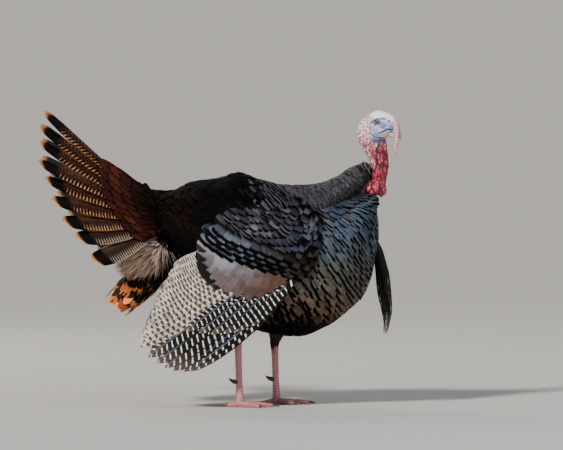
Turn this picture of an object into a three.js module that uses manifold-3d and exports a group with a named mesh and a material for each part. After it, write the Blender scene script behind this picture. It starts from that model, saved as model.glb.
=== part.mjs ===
// A wild turkey tom in half strut, life size, as a still museum model.
// Millimetres. The bird faces +X, its right side is -Y and the floor is Z = 0.
// Each named mesh is one piece of the bird. Flesh and plumage forms reach out to the feather tips.
import * as THREE from "three";
import { mergeVertices } from "three/addons/utils/BufferGeometryUtils.js";
import Module from "manifold-3d";

const wasm = await Module();
wasm.setup();

// ---- Driving sizes ----------------------------------------------------------------------------

const GAP = 0.3; // clearance between neighbouring pieces
const STANCE = 66; // each foot's distance from the middle plane
const RIGHT_FOOT_X = 47; // the right foot stands a little behind the left one
const LEFT_FOOT_X = 138;
const TOE_LENGTH = { middle: 84, inner: 60, outer: 64, hind: 30 };
const TAIL_LENGTH = 418; // from the root of the tail to the tip of a middle feather
const TAIL_RISE = 43.4; // degrees from the horizontal to the middle of the fan
const TAIL_SPREAD = 84; // degrees from the middle feather to the outermost one
const TAIL_DROOP = 30.2; // degrees that each half of the fan hangs down from a flat fan
const TAIL_FEATHERS = 9; // on each side
const TAIL_ROOT = new THREE.Vector3(-128, 0, 461);
const HEAD_TURN = -15; // degrees, towards the bird's right
const HEAD_CENTRE = [383, 0, 695];
const WING_OUT = 168; // how far the side of a drooped wing stands from the middle plane
const PRIMARIES = 9; // feathers in the hand fan
const SECONDARIES = 8; // feathers in the arm fan

// ---- Helpers ----------------------------------------------------------------------------------

const radians = THREE.MathUtils.degToRad;

// The row at t (0 to 1) of a smooth Catmull-Rom run through a table of rows.
function rowAt(rows, t) {
  const s = Math.min(Math.max(t, 0), 1) * (rows.length - 1);
  const i = Math.min(Math.floor(s), rows.length - 2);
  const f = s - i;
  const row = (k) => rows[Math.min(Math.max(k, 0), rows.length - 1)];
  return rows[0].map((_, c) => {
    const [a, b, d, e] = [row(i - 1)[c], row(i)[c], row(i + 1)[c], row(i + 2)[c]];
    const bend = (2 * a - 5 * b + 4 * d - e) * f * f + (3 * b - a - 3 * d + e) * f ** 3;
    return 0.5 * (2 * b + (d - a) * f + bend);
  });
}

// A solid from a closed three.js geometry, turned the right way out.
function solidOf(geometry) {
  const bare = geometry.index ? geometry.toNonIndexed() : geometry.clone();
  bare.deleteAttribute("normal");
  bare.deleteAttribute("uv");
  const merged = mergeVertices(bare, 1e-4);
  const build = (triVerts) =>
    new wasm.Manifold(
      new wasm.Mesh({
        numProp: 3,
        vertProperties: merged.attributes.position.array,
        triVerts,
      }),
    );
  const triVerts = new Uint32Array(merged.index.array);
  const made = build(triVerts);
  return made.volume() > 0 ? made : build(triVerts.reverse());
}

// A closed surface over rings of points, with its two ends capped.
function closedRings(rings) {
  const count = rings[0].length;
  const middle = (ring) =>
    ring.reduce((sum, p) => sum.add(p), new THREE.Vector3()).divideScalar(count);
  const points = [...rings.flat(), middle(rings[0]), middle(rings.at(-1))];
  const firstCap = rings.length * count;
  const index = [];
  for (let j = 0; j < count; j++) {
    const k = (j + 1) % count;
    const far = 2 * j >= count; // split the other way, so that the two faces of a thin slab match
    for (let i = 0; i + 1 < rings.length; i++) {
      const a = i * count;
      const b = a + count;
      if (far) index.push(a + j, b + j, a + k, b + j, b + k, a + k);
      else index.push(a + j, b + j, b + k, a + j, b + k, a + k);
    }
    const last = (rings.length - 1) * count;
    index.push(firstCap, j, k, firstCap + 1, last + k, last + j);
  }
  return solidOf(new THREE.BufferGeometry().setFromPoints(points).setIndex(index));
}

// A rounded body along a line. Rows are [x, y, z, half width, half depth], where the width runs
// sideways and the depth square to the line. Upright rings stand straight up instead.
function tube(rows, { sides = 12, steps = 8, grow = 0, upright = false } = {}) {
  const rings = [];
  const step = 0.01;
  for (let i = 0; i <= steps; i++) {
    const t = i / steps;
    const [x, y, z, wide, deep] = rowAt(rows, t);
    const before = rowAt(rows, Math.max(t - step, 0));
    const after = rowAt(rows, Math.min(t + step, 1));
    const along = new THREE.Vector3(...after).sub(new THREE.Vector3(...before)).normalize();
    if (upright) along.set(1, 0, 0);
    const side = new THREE.Vector3(0, 1, 0);
    side.addScaledVector(along, -side.dot(along)).normalize();
    const up = new THREE.Vector3().crossVectors(along, side);
    const end = i === 0 ? -grow : i === steps ? grow : 0;
    const middle = new THREE.Vector3(x, y, z).addScaledVector(along, end);
    rings.push(
      Array.from({ length: sides }, (_, k) => {
        const a = (2 * Math.PI * k) / sides;
        return middle
          .clone()
          .addScaledVector(side, (wide + grow) * Math.cos(a))
          .addScaledVector(up, (deep + grow) * Math.sin(a));
      }),
    );
  }
  return closedRings(rings);
}

// An upright body from rows of [x, top, bottom, half width].
const upright = (rows, options) =>
  tube(
    rows.map(([x, top, bottom, wide]) => [x, 0, (top + bottom) / 2, wide, (top - bottom) / 2]),
    { upright: true, ...options },
  );

// An egg-shaped lump.
function lump(centre, radii, { grow = 0, sides = 10, tilt = 0 } = {}) {
  const ball = new THREE.SphereGeometry(1, sides, Math.round(sides * 0.7));
  ball.scale(...radii.map((r) => r + grow));
  ball.rotateY(radians(tilt));
  ball.translate(...centre);
  return solidOf(ball);
}

// The biggest single body of what is left of a solid after its neighbours are cut away.
function cut(solid, ...others) {
  const left = others.reduce((rest, other) => rest.subtract(other), solid).decompose();
  return left.reduce((best, body) => (body.volume() > best.volume() ? body : best));
}

const mirrored = (solid) => solid.mirror([0, 1, 0]);

// ---- Trunk, back and neck ---------------------------------------------------------------------

const TRUNK = [
  [-160, 512, 412, 55],
  [-114, 535, 362, 98],
  [-52, 553, 288, 130],
  [23, 562, 222, 150],
  [98, 565, 187, 160],
  [173, 560, 175, 163],
  [236, 550, 182, 152],
  [286, 536, 207, 140],
  [328, 526, 241, 122],
  [361, 521, 280, 95],
  [381, 512, 330, 62],
  [389, 490, 385, 34],
];
const trunk = (grow = 0) => upright(TRUNK, { sides: 20, steps: 14, grow });

// The fluffed feathers of the lower back, which stand above the trunk like a saddle.
const SADDLE = [
  [-176, 553, 440, 60],
  [-120, 553, 400, 101],
  [-60, 574, 360, 137],
  [0, 583, 340, 160],
  [53, 592, 350, 168],
  [98, 580, 380, 168],
  [140, 572, 420, 160],
  [178, 566, 470, 140],
];
// Its side view: the lower edge lies over the top of the wing.
const SADDLE_EDGE = [
  [-178, 620],
  [-178, 440],
  [-125, 405],
  [-62, 410],
  [-30, 452],
  [28, 498],
  [95, 532],
  [178, 545],
  [178, 620],
];

// A side view drawn as [x, z] points, carried right through the bird from side to side.
function sideView(points, grow = 0) {
  const shape = new THREE.Shape(points.map(([x, z]) => new THREE.Vector2(x, z)));
  const bevel = { bevelThickness: 1, bevelSize: 0, bevelOffset: grow, bevelSegments: 1 };
  const slab = new THREE.ExtrudeGeometry(shape, { depth: 800, bevelEnabled: grow > 0, ...bevel });
  slab.rotateX(Math.PI / 2); // the outline's y becomes z and its depth runs to -y
  slab.translate(0, 400, 0);
  return solidOf(slab);
}

const saddle = (grow = 0) =>
  upright(SADDLE, { sides: 20, steps: 6, grow }).intersect(sideView(SADDLE_EDGE, grow));

// The feathered part of the neck, drawn back like a hood.
const HOOD = [
  [198, 0, 485, 122, 75],
  [238, 0, 502, 104, 62],
  [278, 0, 525, 82, 46],
  [313, 0, 547, 63, 40],
  [343, 0, 572, 48, 35],
  [364, 0, 588, 33, 26],
];
const hood = (grow = 0) => tube(HOOD, { sides: 16, steps: 6, grow });

const NECK = [
  [389, 0, 532, 19, 19],
  [394, 0, 565, 20, 20],
  [397, 0, 595, 21, 23],
  [394, 0, 620, 21, 25],
  [388, 0, 645, 22, 29],
  [383, 0, 668, 21, 29],
];
const neck = (grow = 0) => tube(NECK, { sides: 12, steps: 5, grow });

// ---- Head -------------------------------------------------------------------------------------

// The head's own rows are measured from its centre, looking straight ahead.
const HEAD = [
  [-41, -4, -26, 7],
  [-35, 12, -40, 15],
  [-22, 27, -52, 20],
  [-7, 37, -55, 23],
  [10, 44, -43, 23],
  [27, 41, -29, 21],
  [40, 36, -18, 16],
  [50, 28, -5, 11],
  [55, 19, 5, 5],
];
const BILL_UPPER = [
  [30, 0, 16, 11, 13],
  [43, 0, 12, 10, 11],
  [55, 0, 2, 8, 8.5],
  [65, 0, -12, 5, 6],
  [70, 0, -31, 1.2, 1.5],
];
const BILL_LOWER = [
  [25, 0, -7, 9, 8],
  [38, 0, -13, 8, 7],
  [50, 0, -19, 6, 4.5],
  [60, 0, -25, 2.5, 1.6],
];
// The snood grows from the forehead and hangs down the right side of the bill.
const SNOOD = [
  [42, 0, 33, 9, 7],
  [54, -4, 25, 8, 7],
  [61, -11, 6, 7, 7],
  [62, -15, -24, 6, 6],
  [60, -16, -50, 5, 5],
  [59, -16, -65, 3, 3],
];
const EYE = { centre: [15, 16.5, 14], radius: 6.2 };

// Turns a piece of the head to where the bird looks and puts it on the neck.
const onHead = (solid) => solid.rotate([0, 0, HEAD_TURN]).translate(HEAD_CENTRE);
const skull = (grow = 0) => upright(HEAD, { sides: 12, steps: 8, grow });
const eye = (side, grow = 0) =>
  lump([EYE.centre[0], side * EYE.centre[1], EYE.centre[2]], Array(3).fill(EYE.radius), { grow });
const billUpper = (grow = 0) => tube(BILL_UPPER, { sides: 12, steps: 7, grow });
const billLower = (grow = 0) => tube(BILL_LOWER, { sides: 10, steps: 5, grow });

// ---- Wattles and beard ------------------------------------------------------------------------

const SIDE_LOBE = { centre: [381, 12, 543], radii: [16, 12.5, 15] };
const FRONT_LOBE = { centre: [402, 0, 541], radii: [11, 11, 18] };
const sideLobe = (side, grow = 0) => {
  const [x, y, z] = SIDE_LOBE.centre;
  return lump([x, side * y, z], SIDE_LOBE.radii, { grow });
};
const frontLobe = (grow = 0) => lump(FRONT_LOBE.centre, FRONT_LOBE.radii, { grow });

const BEARD = [
  [380, 0, 424, 6, 7],
  [393, 0, 395, 10, 11],
  [399, 0, 360, 12, 15],
  [405, 0, 325, 13, 18],
  [409, 0, 285, 13, 18],
  [414, 0, 250, 11, 16],
  [416, 0, 215, 8, 11],
  [411, 0, 180, 3, 3],
];

// ---- Feather fans -----------------------------------------------------------------------------

// A fan of overlapping feathers as one closed slab. place(u, v, lift) gives a point lift above the
// underside, u feathers across and v of the way from root to tip. Each feather is thin on one edge
// and thick on the other, so that it lies over its neighbour, and ends in a rounded tip.
function featherFan(count, place, { rows = 3, thin = 1, thick = 3, notch = 0.08 } = {}) {
  const columns = [];
  for (let i = 0; i < count; i++) {
    for (const s of [0, 0.5, 1]) {
      const lift = s === 0.5 ? thick : thin + (thick - thin) * (1 - s);
      columns.push({ u: i + s, lift, tip: 1 - notch * (2 * s - 1) ** 2 });
    }
  }
  const grid = (lifted) =>
    columns.map(({ u, lift, tip }) =>
      Array.from({ length: rows + 1 }, (_, r) => {
        const v = r / rows;
        return place(u, v * (v < 1 ? 1 - (1 - tip) * v ** 3 : tip), lifted ? lift : 0);
      }),
    );
  const [under, over] = [grid(false), grid(true)];
  // Each ring runs up one column on the underside and back down it on the outside.
  return closedRings(columns.map((_, c) => [...under[c], ...over[c].toReversed()]));
}

const tailAlong = new THREE.Vector3(-Math.cos(radians(TAIL_RISE)), 0, Math.sin(radians(TAIL_RISE)));
const tailDown = new THREE.Vector3(-Math.sin(radians(TAIL_RISE)), 0, -Math.cos(radians(TAIL_RISE)));
const tailAcross = new THREE.Vector3(0, -Math.cos(radians(TAIL_DROOP)), 0).addScaledVector(
  tailDown,
  Math.sin(radians(TAIL_DROOP)),
);
const tailOut = new THREE.Vector3().crossVectors(tailAcross, tailAlong).normalize();
if (tailOut.z < 0) tailOut.negate();

// A point of the right half of the tail: turn is degrees from the middle feather, reach is millimetres
// from the root of the tail.
const tailPoint = (turn, reach, lift) =>
  TAIL_ROOT.clone()
    .addScaledVector(tailAlong, reach * Math.cos(radians(turn)))
    .addScaledVector(tailAcross, reach * Math.sin(radians(turn)))
    .addScaledVector(tailOut, lift)
    .add(new THREE.Vector3(0, -GAP, 0));

const TAIL_ROOT_REACH = 30;
const OUTER_FEATHER_SHARE = 0.9; // of a middle feather's length
const TAIL_THICK = 4;
const tailFan = () =>
  featherFan(
    TAIL_FEATHERS,
    (u, v, lift) => {
      const across = u / TAIL_FEATHERS;
      const length = TAIL_LENGTH * (1 - (1 - OUTER_FEATHER_SHARE) * across);
      return tailPoint(across * TAIL_SPREAD, TAIL_ROOT_REACH + (length - TAIL_ROOT_REACH) * v, lift);
    },
    { rows: 3, thin: 1.2, thick: TAIL_THICK, notch: 0.07 },
  );

// The coverts over the roots of the tail: shorter towards the outside, and lying on the fan.
const COVERT_ROWS = 5;
const COVERT_LENGTH = { middle: 236, outer: 168 };
const tailCoverts = () =>
  featherFan(
    COVERT_ROWS,
    (u, v, lift) => {
      const across = u / COVERT_ROWS;
      const length = THREE.MathUtils.lerp(COVERT_LENGTH.middle, COVERT_LENGTH.outer, across);
      const swell = 26 * (1 - v) ** 1.5; // they stand up off the fan near the rump
      const lifted = TAIL_THICK + GAP + (lift > 0 ? lift + swell : 0);
      return tailPoint(across * (TAIL_SPREAD - 3), TAIL_ROOT_REACH + (length - TAIL_ROOT_REACH) * v, lifted);
    },
    { rows: 3, thin: 1.5, thick: 4, notch: 0.12 },
  );

const UNDERTAIL = [
  [-105, 0, 412, 60, 35],
  [-150, 0, 362, 84, 46],
  [-195, 0, 314, 98, 50],
  [-232, 0, 277, 92, 44],
  [-250, 0, 262, 70, 33],
];
const FLUFF = { centre: [-176, 0, 384], radii: [62, 112, 46], tilt: -38 };
const fluff = (grow = 0) => lump(FLUFF.centre, FLUFF.radii, { grow, sides: 12, tilt: FLUFF.tilt });

// ---- Wings ------------------------------------------------------------------------------------

// How far the inner face of the right wing stands out at a place in the side view: upright below the
// trunk's widest line, and rounded in over the back.
const WING_MIDDLE = 60; // x where the drooped wing stands out most
const WING_REACH = 185;
const WING_PULL = 14;
const WING_TURN_IN = 375; // z above which it follows the back
const BACK_ROUND = 190;
function wingSide(x, z) {
  const out = WING_OUT - WING_PULL * ((x - WING_MIDDLE) / WING_REACH) ** 2;
  const above = Math.max(z - WING_TURN_IN, 0) / BACK_ROUND;
  return out * Math.sqrt(Math.max(1 - above ** 2, 0.05));
}
const onWing = (x, z, lift) => new THREE.Vector3(x, -wingSide(x, z) - lift, z);

// A curved plate on the wing's side, with its side view given by an outline.
function wingPlate(outline, thickness, columns = 6, rows = 5) {
  const box = new THREE.Box2().setFromPoints(outline.map(([x, z]) => new THREE.Vector2(x, z)));
  const line = (from, to, count) =>
    Array.from({ length: count + 1 }, (_, i) => THREE.MathUtils.lerp(from, to, i / count));
  const rings = line(box.min.x - 1, box.max.x + 1, columns).map((x) => {
    const column = line(box.min.y - 1, box.max.y + 1, rows);
    const inner = column.map((z) => onWing(x, z, 0));
    const outer = column.map((z) => onWing(x, z, thickness));
    return [...inner, ...outer.toReversed()];
  });
  return closedRings(rings).intersect(sideView(outline));
}

const SHOULDER_EDGE = [
  [270, 470],
  [236, 500],
  [158, 540],
  [95, 530],
  [30, 496],
  [-26, 452],
  [-30, 428],
  [13, 404],
  [95, 368],
  [180, 344],
  [205, 356],
  [240, 400],
];
const COVERT_EDGE = [
  [-32, 422],
  [-56, 400],
  [-52, 340],
  [-28, 306],
  [14, 284],
  [70, 270],
  [104, 272],
  [143, 310],
  [176, 341],
  [95, 365],
  [13, 401],
];
const SHOULDER_THICK = 15;
const COVERT_THICK = 9;

// A wing fan between two lines of the side view: roots and tips, each from its lower to its upper end.
const wingFan = (count, roots, tips, belly, options) =>
  featherFan(
    count,
    (u, v, lift) => {
      const [rootX, rootZ] = rowAt(roots, u / count);
      const [tipX, tipZ] = rowAt(tips, u / count);
      const bend = belly * Math.sin(Math.PI * v) * (1 - u / count);
      return onWing(
        THREE.MathUtils.lerp(rootX, tipX, v) + bend * 0.5,
        THREE.MathUtils.lerp(rootZ, tipZ, v) - bend,
        lift,
      );
    },
    options,
  );

const PRIMARY_ROOTS = [
  [200, 350],
  [110, 305],
  [32, 284],
];
const PRIMARY_TIPS = [
  [-72, 98],
  [-140, 100],
  [-190, 138],
];
const SECONDARY_ROOTS = [
  [30, 290],
  [-15, 340],
  [-45, 400],
];
const SECONDARY_TIPS = [
  [-202, 146],
  [-176, 232],
  [-112, 366],
];

// ---- Legs -------------------------------------------------------------------------------------

// Rows of the feathered thigh and the bare shank, with x measured from the foot.
const THIGH = {
  right: [
    [50, 0, 262, 46, 52],
    [24, 0, 218, 32, 36],
    [4, 0, 188, 19, 21],
    [-4, 0, 170, 13, 13],
  ],
  left: [
    [22, 0, 258, 46, 52],
    [8, 0, 204, 30, 32],
    [-1, 0, 166, 17, 18],
    [-3, 0, 140, 11, 12],
  ],
};
const SHANK = [
  [-4, 0, 176, 9, 11.5],
  [-3, 0, 158, 8.5, 9.5],
  [-2, 0, 110, 7, 8.5],
  [0, 0, 50, 7, 8.5],
  [2, 0, 8, 9.5, 11],
];
const SPUR = [
  [-2, 0, 62, 6.5, 6.5],
  [-16, 0, 65, 5, 5],
  [-27, 0, 72, 0.8, 0.8],
];
const TOES = [
  ["middle", 0],
  ["inner", 38],
  ["outer", -36],
  ["hind", 172],
];
const SOLE = 0; // the toes are flat at the floor

// Moves a leg's rows out to its own side. side is -1 for the right leg.
const legRows = (rows, side) => {
  const footX = side < 0 ? RIGHT_FOOT_X : LEFT_FOOT_X;
  return rows.map(([x, y, z, wide, deep]) => [x + footX, y + side * STANCE, z, wide, deep]);
};

// A row of a toe that points straight ahead becomes a row at the toe's own angle, which opens outwards
// for the outer toe and inwards for the inner one.
function toeRows(rows, angle, side) {
  const turn = radians(angle) * -side;
  return legRows(
    rows.map(([x, y, z, wide, deep]) => [x * Math.cos(turn), x * Math.sin(turn), z, wide, deep]),
    side,
  );
}

const toe = (length, angle, side, grow = 0) =>
  tube(
    toeRows(
      [
        [-4, 0, 8, 8, 9.5],
        [length * 0.35, 0, 6.5, 7, 8],
        [length * 0.7, 0, 5.5, 6, 7],
        [length, 0, 4, 4, 5],
      ],
      angle,
      side,
    ),
    { sides: 6, steps: 3, grow },
  );

const claw = (length, angle, side) =>
  tube(
    toeRows(
      [
        [length - 4, 0, 5, 3.4, 3.6],
        [length + 8, 0, 4.6, 2.6, 3],
        [length + 17, 0, 1.6, 0.6, 0.8],
      ],
      angle,
      side,
    ),
    { sides: 6, steps: 3 },
  );

function foot(side, grow = 0) {
  const pad = lump([...legRows([[0, 0, 9, 0, 0]], side)[0].slice(0, 3)], [12, 11, 12], { grow, sides: 7 });
  return TOES.reduce(
    (made, [name, angle]) => made.add(toe(TOE_LENGTH[name], angle, side, grow)),
    pad,
  ).trimByPlane([0, 0, 1], SOLE);
}

const thighOf = (side, grow = 0) =>
  tube(legRows(side < 0 ? THIGH.right : THIGH.left, side), { sides: 12, steps: 4, grow });
const shankOf = (side, grow = 0) => tube(legRows(SHANK, side), { sides: 8, steps: 4, grow });

// ---- Pieces -----------------------------------------------------------------------------------

const plumage = { bronze: 0x3b3a38, back: 0x16171c, chestnut: 0x3a211a, hood: 0x4a4340 };
const finish = (color, roughness = 0.7, metalness = 0) =>
  new THREE.MeshStandardMaterial({ color, roughness, metalness });
const FINISHES = {
  body: finish(plumage.bronze, 0.5, 0.3),
  back: finish(plumage.back, 0.5, 0.2),
  hood: finish(plumage.hood),
  bare: finish(0xc98f92, 0.6),
  red: finish(0xb03a42, 0.5),
  bill: finish(0xb9ad94, 0.4),
  eye: finish(0x23120a, 0.1),
  tail: finish(0x5a3a24),
  coverts: finish(plumage.chestnut),
  undertail: finish(0xb8642c),
  fluff: finish(0x9a8677, 0.9),
  panel: finish(0x8a7f80, 0.4, 0.2),
  secondaries: finish(0xb9b2a8),
  primaries: finish(0x4c4a48),
  beard: finish(0x0c0c0d, 0.6),
  shank: finish(0xa0626a, 0.5),
  horn: finish(0x3a302c, 0.4),
};

const bird = new THREE.Group();

// Adds one solid to the bird as a named mesh.
function add(name, solid, material) {
  const { numProp, numVert, vertProperties, triVerts } = solid.getMesh();
  const position = new Float32Array(numVert * 3);
  for (let i = 0; i < numVert; i++) {
    position.set(vertProperties.subarray(i * numProp, i * numProp + 3), i * 3);
  }
  const geometry = new THREE.BufferGeometry()
    .setAttribute("position", new THREE.BufferAttribute(position, 3))
    .setIndex(new THREE.BufferAttribute(triVerts, 1));
  geometry.computeVertexNormals();
  const mesh = new THREE.Mesh(geometry, material);
  mesh.name = name;
  bird.add(mesh);
}

// Trunk and neck.
add("trunk", trunk(), FINISHES.body);
add("back_saddle", cut(saddle(), trunk(GAP)), FINISHES.back);
const eyes = [-1, 1].map((side) => onHead(eye(side, GAP)));
const skullSolid = cut(onHead(skull()), ...eyes);
add("neck_feathered", cut(hood(), trunk(GAP), saddle(GAP), neck(GAP)), FINISHES.hood);
add("neck_bare", cut(neck(), onHead(skull(GAP)), trunk(GAP)), FINISHES.bare);

// Head.
add("head", skullSolid, FINISHES.bare);
add("bill_upper", cut(onHead(billUpper()), onHead(skull(GAP))), FINISHES.bill);
add("bill_lower", cut(onHead(billLower()), onHead(skull(GAP)), onHead(billUpper(GAP))), FINISHES.bill);
add(
  "snood",
  cut(onHead(tube(SNOOD, { sides: 8, steps: 8 })), onHead(skull(GAP)), onHead(billUpper(GAP))),
  FINISHES.red,
);
add("eye_right", onHead(eye(-1)), FINISHES.eye);
add("eye_left", onHead(eye(1)), FINISHES.eye);

// Wattles and beard.
const around = [neck(GAP), trunk(GAP), hood(GAP)];
add("wattle_front", cut(frontLobe(), ...around), FINISHES.red);
add("wattle_right", cut(sideLobe(-1), ...around, frontLobe(GAP)), FINISHES.red);
add("wattle_left", cut(sideLobe(1), ...around, frontLobe(GAP), sideLobe(-1, GAP)), FINISHES.red);
add("beard", cut(tube(BEARD, { sides: 8, steps: 9 }), trunk(GAP)), FINISHES.beard);

// Tail. Its right half is made, and mirrored for the left one before the neighbours are cut away.
const pair = (name, solid, material, ...neighbours) => {
  add(`${name}_right`, cut(solid, ...neighbours), material);
  add(`${name}_left`, cut(mirrored(solid), ...neighbours), material);
};
const rump = [trunk(GAP), saddle(GAP)];
pair("tail", tailFan(), FINISHES.tail, ...rump, fluff(GAP));
pair("tail_coverts", tailCoverts(), FINISHES.coverts, ...rump, fluff(GAP));
add("vent_fluff", cut(fluff(), ...rump), FINISHES.fluff);
add(
  "undertail_coverts",
  cut(tube(UNDERTAIL, { sides: 12, steps: 4 }), trunk(GAP), fluff(GAP)),
  FINISHES.undertail,
);

// Wings.
pair("wing_shoulder", wingPlate(SHOULDER_EDGE, SHOULDER_THICK), FINISHES.body, ...rump, hood(GAP));
pair("wing_coverts", wingPlate(COVERT_EDGE, COVERT_THICK), FINISHES.panel, trunk(GAP));
const overQuills = [sideView(COVERT_EDGE, GAP), sideView(SHOULDER_EDGE, GAP), trunk(GAP)];
const arm = wingFan(SECONDARIES, SECONDARY_ROOTS, SECONDARY_TIPS, 0, { rows: 2, notch: 0.08 });
pair("wing_secondaries", arm, FINISHES.secondaries, ...overQuills);
const hand = wingFan(PRIMARIES, PRIMARY_ROOTS, PRIMARY_TIPS, 18, { notch: 0.1 });
pair("wing_primaries", hand, FINISHES.primaries, ...overQuills);

// Legs.
for (const [label, side] of [
  ["right", -1],
  ["left", 1],
]) {
  add(`thigh_${label}`, cut(thighOf(side), trunk(GAP)), FINISHES.body);
  add(`shank_${label}`, cut(shankOf(side), thighOf(side, GAP), foot(side, GAP)), FINISHES.shank);
  add(`spur_${label}`, cut(tube(legRows(SPUR, side), { sides: 7, steps: 3 }), shankOf(side, GAP)), FINISHES.horn);
  add(`foot_${label}`, foot(side), FINISHES.shank);
  for (const [name, angle] of TOES) {
    const nail = cut(claw(TOE_LENGTH[name], angle, side), foot(side, GAP));
    add(`claw_${name}_${label}`, nail, FINISHES.horn);
  }
}

export default bird;
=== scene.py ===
# %% [markdown]
# # A wild turkey tom, life size
# The bird stands in half strut: tail half fanned, wings drooped, beard hanging from the breast.
# It is made the way a museum model is. First comes one skin, fused from simple rounded forms. Then
# every feather is laid on it as a thin closed vane, row over row, from the neck towards the tail.
# All working sizes are millimetres and become metres when a mesh is made.

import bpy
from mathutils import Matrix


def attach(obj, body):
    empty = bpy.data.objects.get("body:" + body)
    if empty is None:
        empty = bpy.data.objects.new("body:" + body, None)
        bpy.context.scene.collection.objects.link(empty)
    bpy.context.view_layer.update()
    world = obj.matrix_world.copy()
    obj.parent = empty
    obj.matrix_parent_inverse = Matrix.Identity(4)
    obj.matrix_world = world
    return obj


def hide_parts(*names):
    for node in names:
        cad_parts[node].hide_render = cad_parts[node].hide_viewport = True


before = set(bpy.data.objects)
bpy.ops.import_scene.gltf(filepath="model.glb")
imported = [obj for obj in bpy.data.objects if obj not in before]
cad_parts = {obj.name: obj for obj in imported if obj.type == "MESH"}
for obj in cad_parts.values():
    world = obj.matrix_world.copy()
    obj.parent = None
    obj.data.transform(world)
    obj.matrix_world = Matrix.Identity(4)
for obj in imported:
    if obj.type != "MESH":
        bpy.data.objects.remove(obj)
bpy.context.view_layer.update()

import math

import bmesh
import bpy
import numpy as np
from mathutils import Vector
from mathutils.bvhtree import BVHTree
from mathutils.kdtree import KDTree

MM = 0.001
rng = np.random.default_rng(11)

# %% [markdown]
# ## The studio
# A low soft sun from the front left models the dark feathers. Two wide lamps give the metallic ones
# something bright to mirror. A long lens far away keeps the proportions flat, as through a field
# telescope. The floor is flat and so wide that it fills every view.

# %% Camera, lights and floor
IMAGE_WIDTH_MM = 1407.5  # how much of the bird's plane the picture is wide
SENSOR_MM = 36
CAMERA_DISTANCE = 20.0
CAMERA_RAISED = math.radians(2)
LOOK_AT = Vector((0.152, 0, 0.4525))
LAMPS_AIM_AT = Vector((0, 0, 0.4))
FLOOR_HALF = 500.0


def add_object(name, data):
    """An object round its data, put into the scene."""
    made = bpy.data.objects.new(name, data)
    bpy.context.scene.collection.objects.link(made)
    return made


camera_data = bpy.data.cameras.new("camera")
camera_data.sensor_width = SENSOR_MM
camera_data.lens = SENSOR_MM * CAMERA_DISTANCE / (IMAGE_WIDTH_MM * MM)
camera_data.clip_start, camera_data.clip_end = 1, 1500
camera = add_object("camera", camera_data)
back = Vector((0, -math.cos(CAMERA_RAISED), math.sin(CAMERA_RAISED)))
camera.location = LOOK_AT + back * CAMERA_DISTANCE
camera.rotation_euler = (-back).to_track_quat("-Z", "Y").to_euler()
bpy.context.scene.camera = camera


def lamp(kind, name, place, power, colour, **settings):
    """A lamp of a kind at a place, turned to the middle of the bird. A sun's power is watts per
    square metre and its angle softens the shadows; an area lamp's power is watts."""
    data = bpy.data.lights.new(name, kind)
    data.energy, data.color = power, colour
    for key, value in settings.items():
        setattr(data, key, value)
    made = add_object(name, data)
    made.location = place
    made.rotation_euler = (LAMPS_AIM_AT - Vector(place)).to_track_quat("-Z", "Y").to_euler()


lamp("SUN", "low sun", (-2.4, -3.6, 3.3), 4.4, (1.0, 0.95, 0.88), angle=math.radians(8))
lamp("AREA", "sky", (2.2, -2.6, 2.4), 40, (0.8, 0.89, 1.0), size=2.6)
lamp("AREA", "rim", (-1.6, 3.0, 2.8), 45, (1.0, 0.95, 0.88), size=1.6)

world = bpy.data.worlds.new("studio")
world.use_nodes = True
light = world.node_tree.nodes["Background"].inputs
light["Color"].default_value, light["Strength"].default_value = (0.9, 0.93, 1.0, 1), 0.22
bpy.context.scene.world = world

floor_mesh = bpy.data.meshes.new("floor")
corners = [(x * FLOOR_HALF, y * FLOOR_HALF, 0) for x, y in ((-1, -1), (1, -1), (1, 1), (-1, 1))]
floor_mesh.from_pydata(corners, [], [(0, 1, 2, 3)])
floor = add_object("floor", floor_mesh)
print("camera", round(camera_data.lens), "mm lens")

# %% [markdown]
# ## Working with whole arrays
# A rounded form is a table of rows along a line, each with a centre and two half sizes. A smooth
# curve through the rows and a ring of points round each place on it give a grid of points. The
# grid becomes a mesh in one go, with no loop over its points.

# %% Curves through tables, and soft steps


def row_at(rows, t):
    """Catmull-Rom curve through a table of rows, for an array of t from 0 to 1: each value is a
    cubic of the two rows before and the two rows after it."""
    rows = np.asarray(rows, float)
    s = np.clip(np.asarray(t, float), 0, 1) * (len(rows) - 1)
    i = np.minimum(s.astype(int), len(rows) - 2)
    f = (s - i)[..., None]
    a, b, d, e = (rows[np.clip(i + k, 0, len(rows) - 1)] for k in (-1, 0, 1, 2))
    bend = (2 * a - 5 * b + 4 * d - e) * f**2 + (3 * b - a - 3 * d + e) * f**3
    return 0.5 * (2 * b + (d - a) * f + bend)


def step(x, low, high):
    """A soft step: 0 below low, 1 above high, and 3f^2 - 2f^3 between them."""
    f = np.clip((x - low) / (high - low), 0, 1)
    return f * f * (3 - 2 * f)


def columns_at(rows, x):
    """The other columns of a table whose first one is x, read off at an array of x."""
    first, *others = np.array(rows, float).T
    return [np.interp(x, first, column) for column in others]


def hump(x, middle, width):
    """A bell curve of height 1 round a middle."""
    return np.exp(-(((x - middle) / width) ** 2))


def unit(v):
    """Vectors of length one."""
    return v / np.maximum(np.linalg.norm(v, axis=-1, keepdims=True), 1e-9)


def flat_to(v, normal):
    """The part of each vector that lies in the surface with that normal, with length one."""
    return unit(v - (v * normal).sum(-1, keepdims=True) * normal)


# %% Rings round a line, and the faces between them


THINNEST = 0.6  # the smallest half width that an inset leaves


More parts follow.
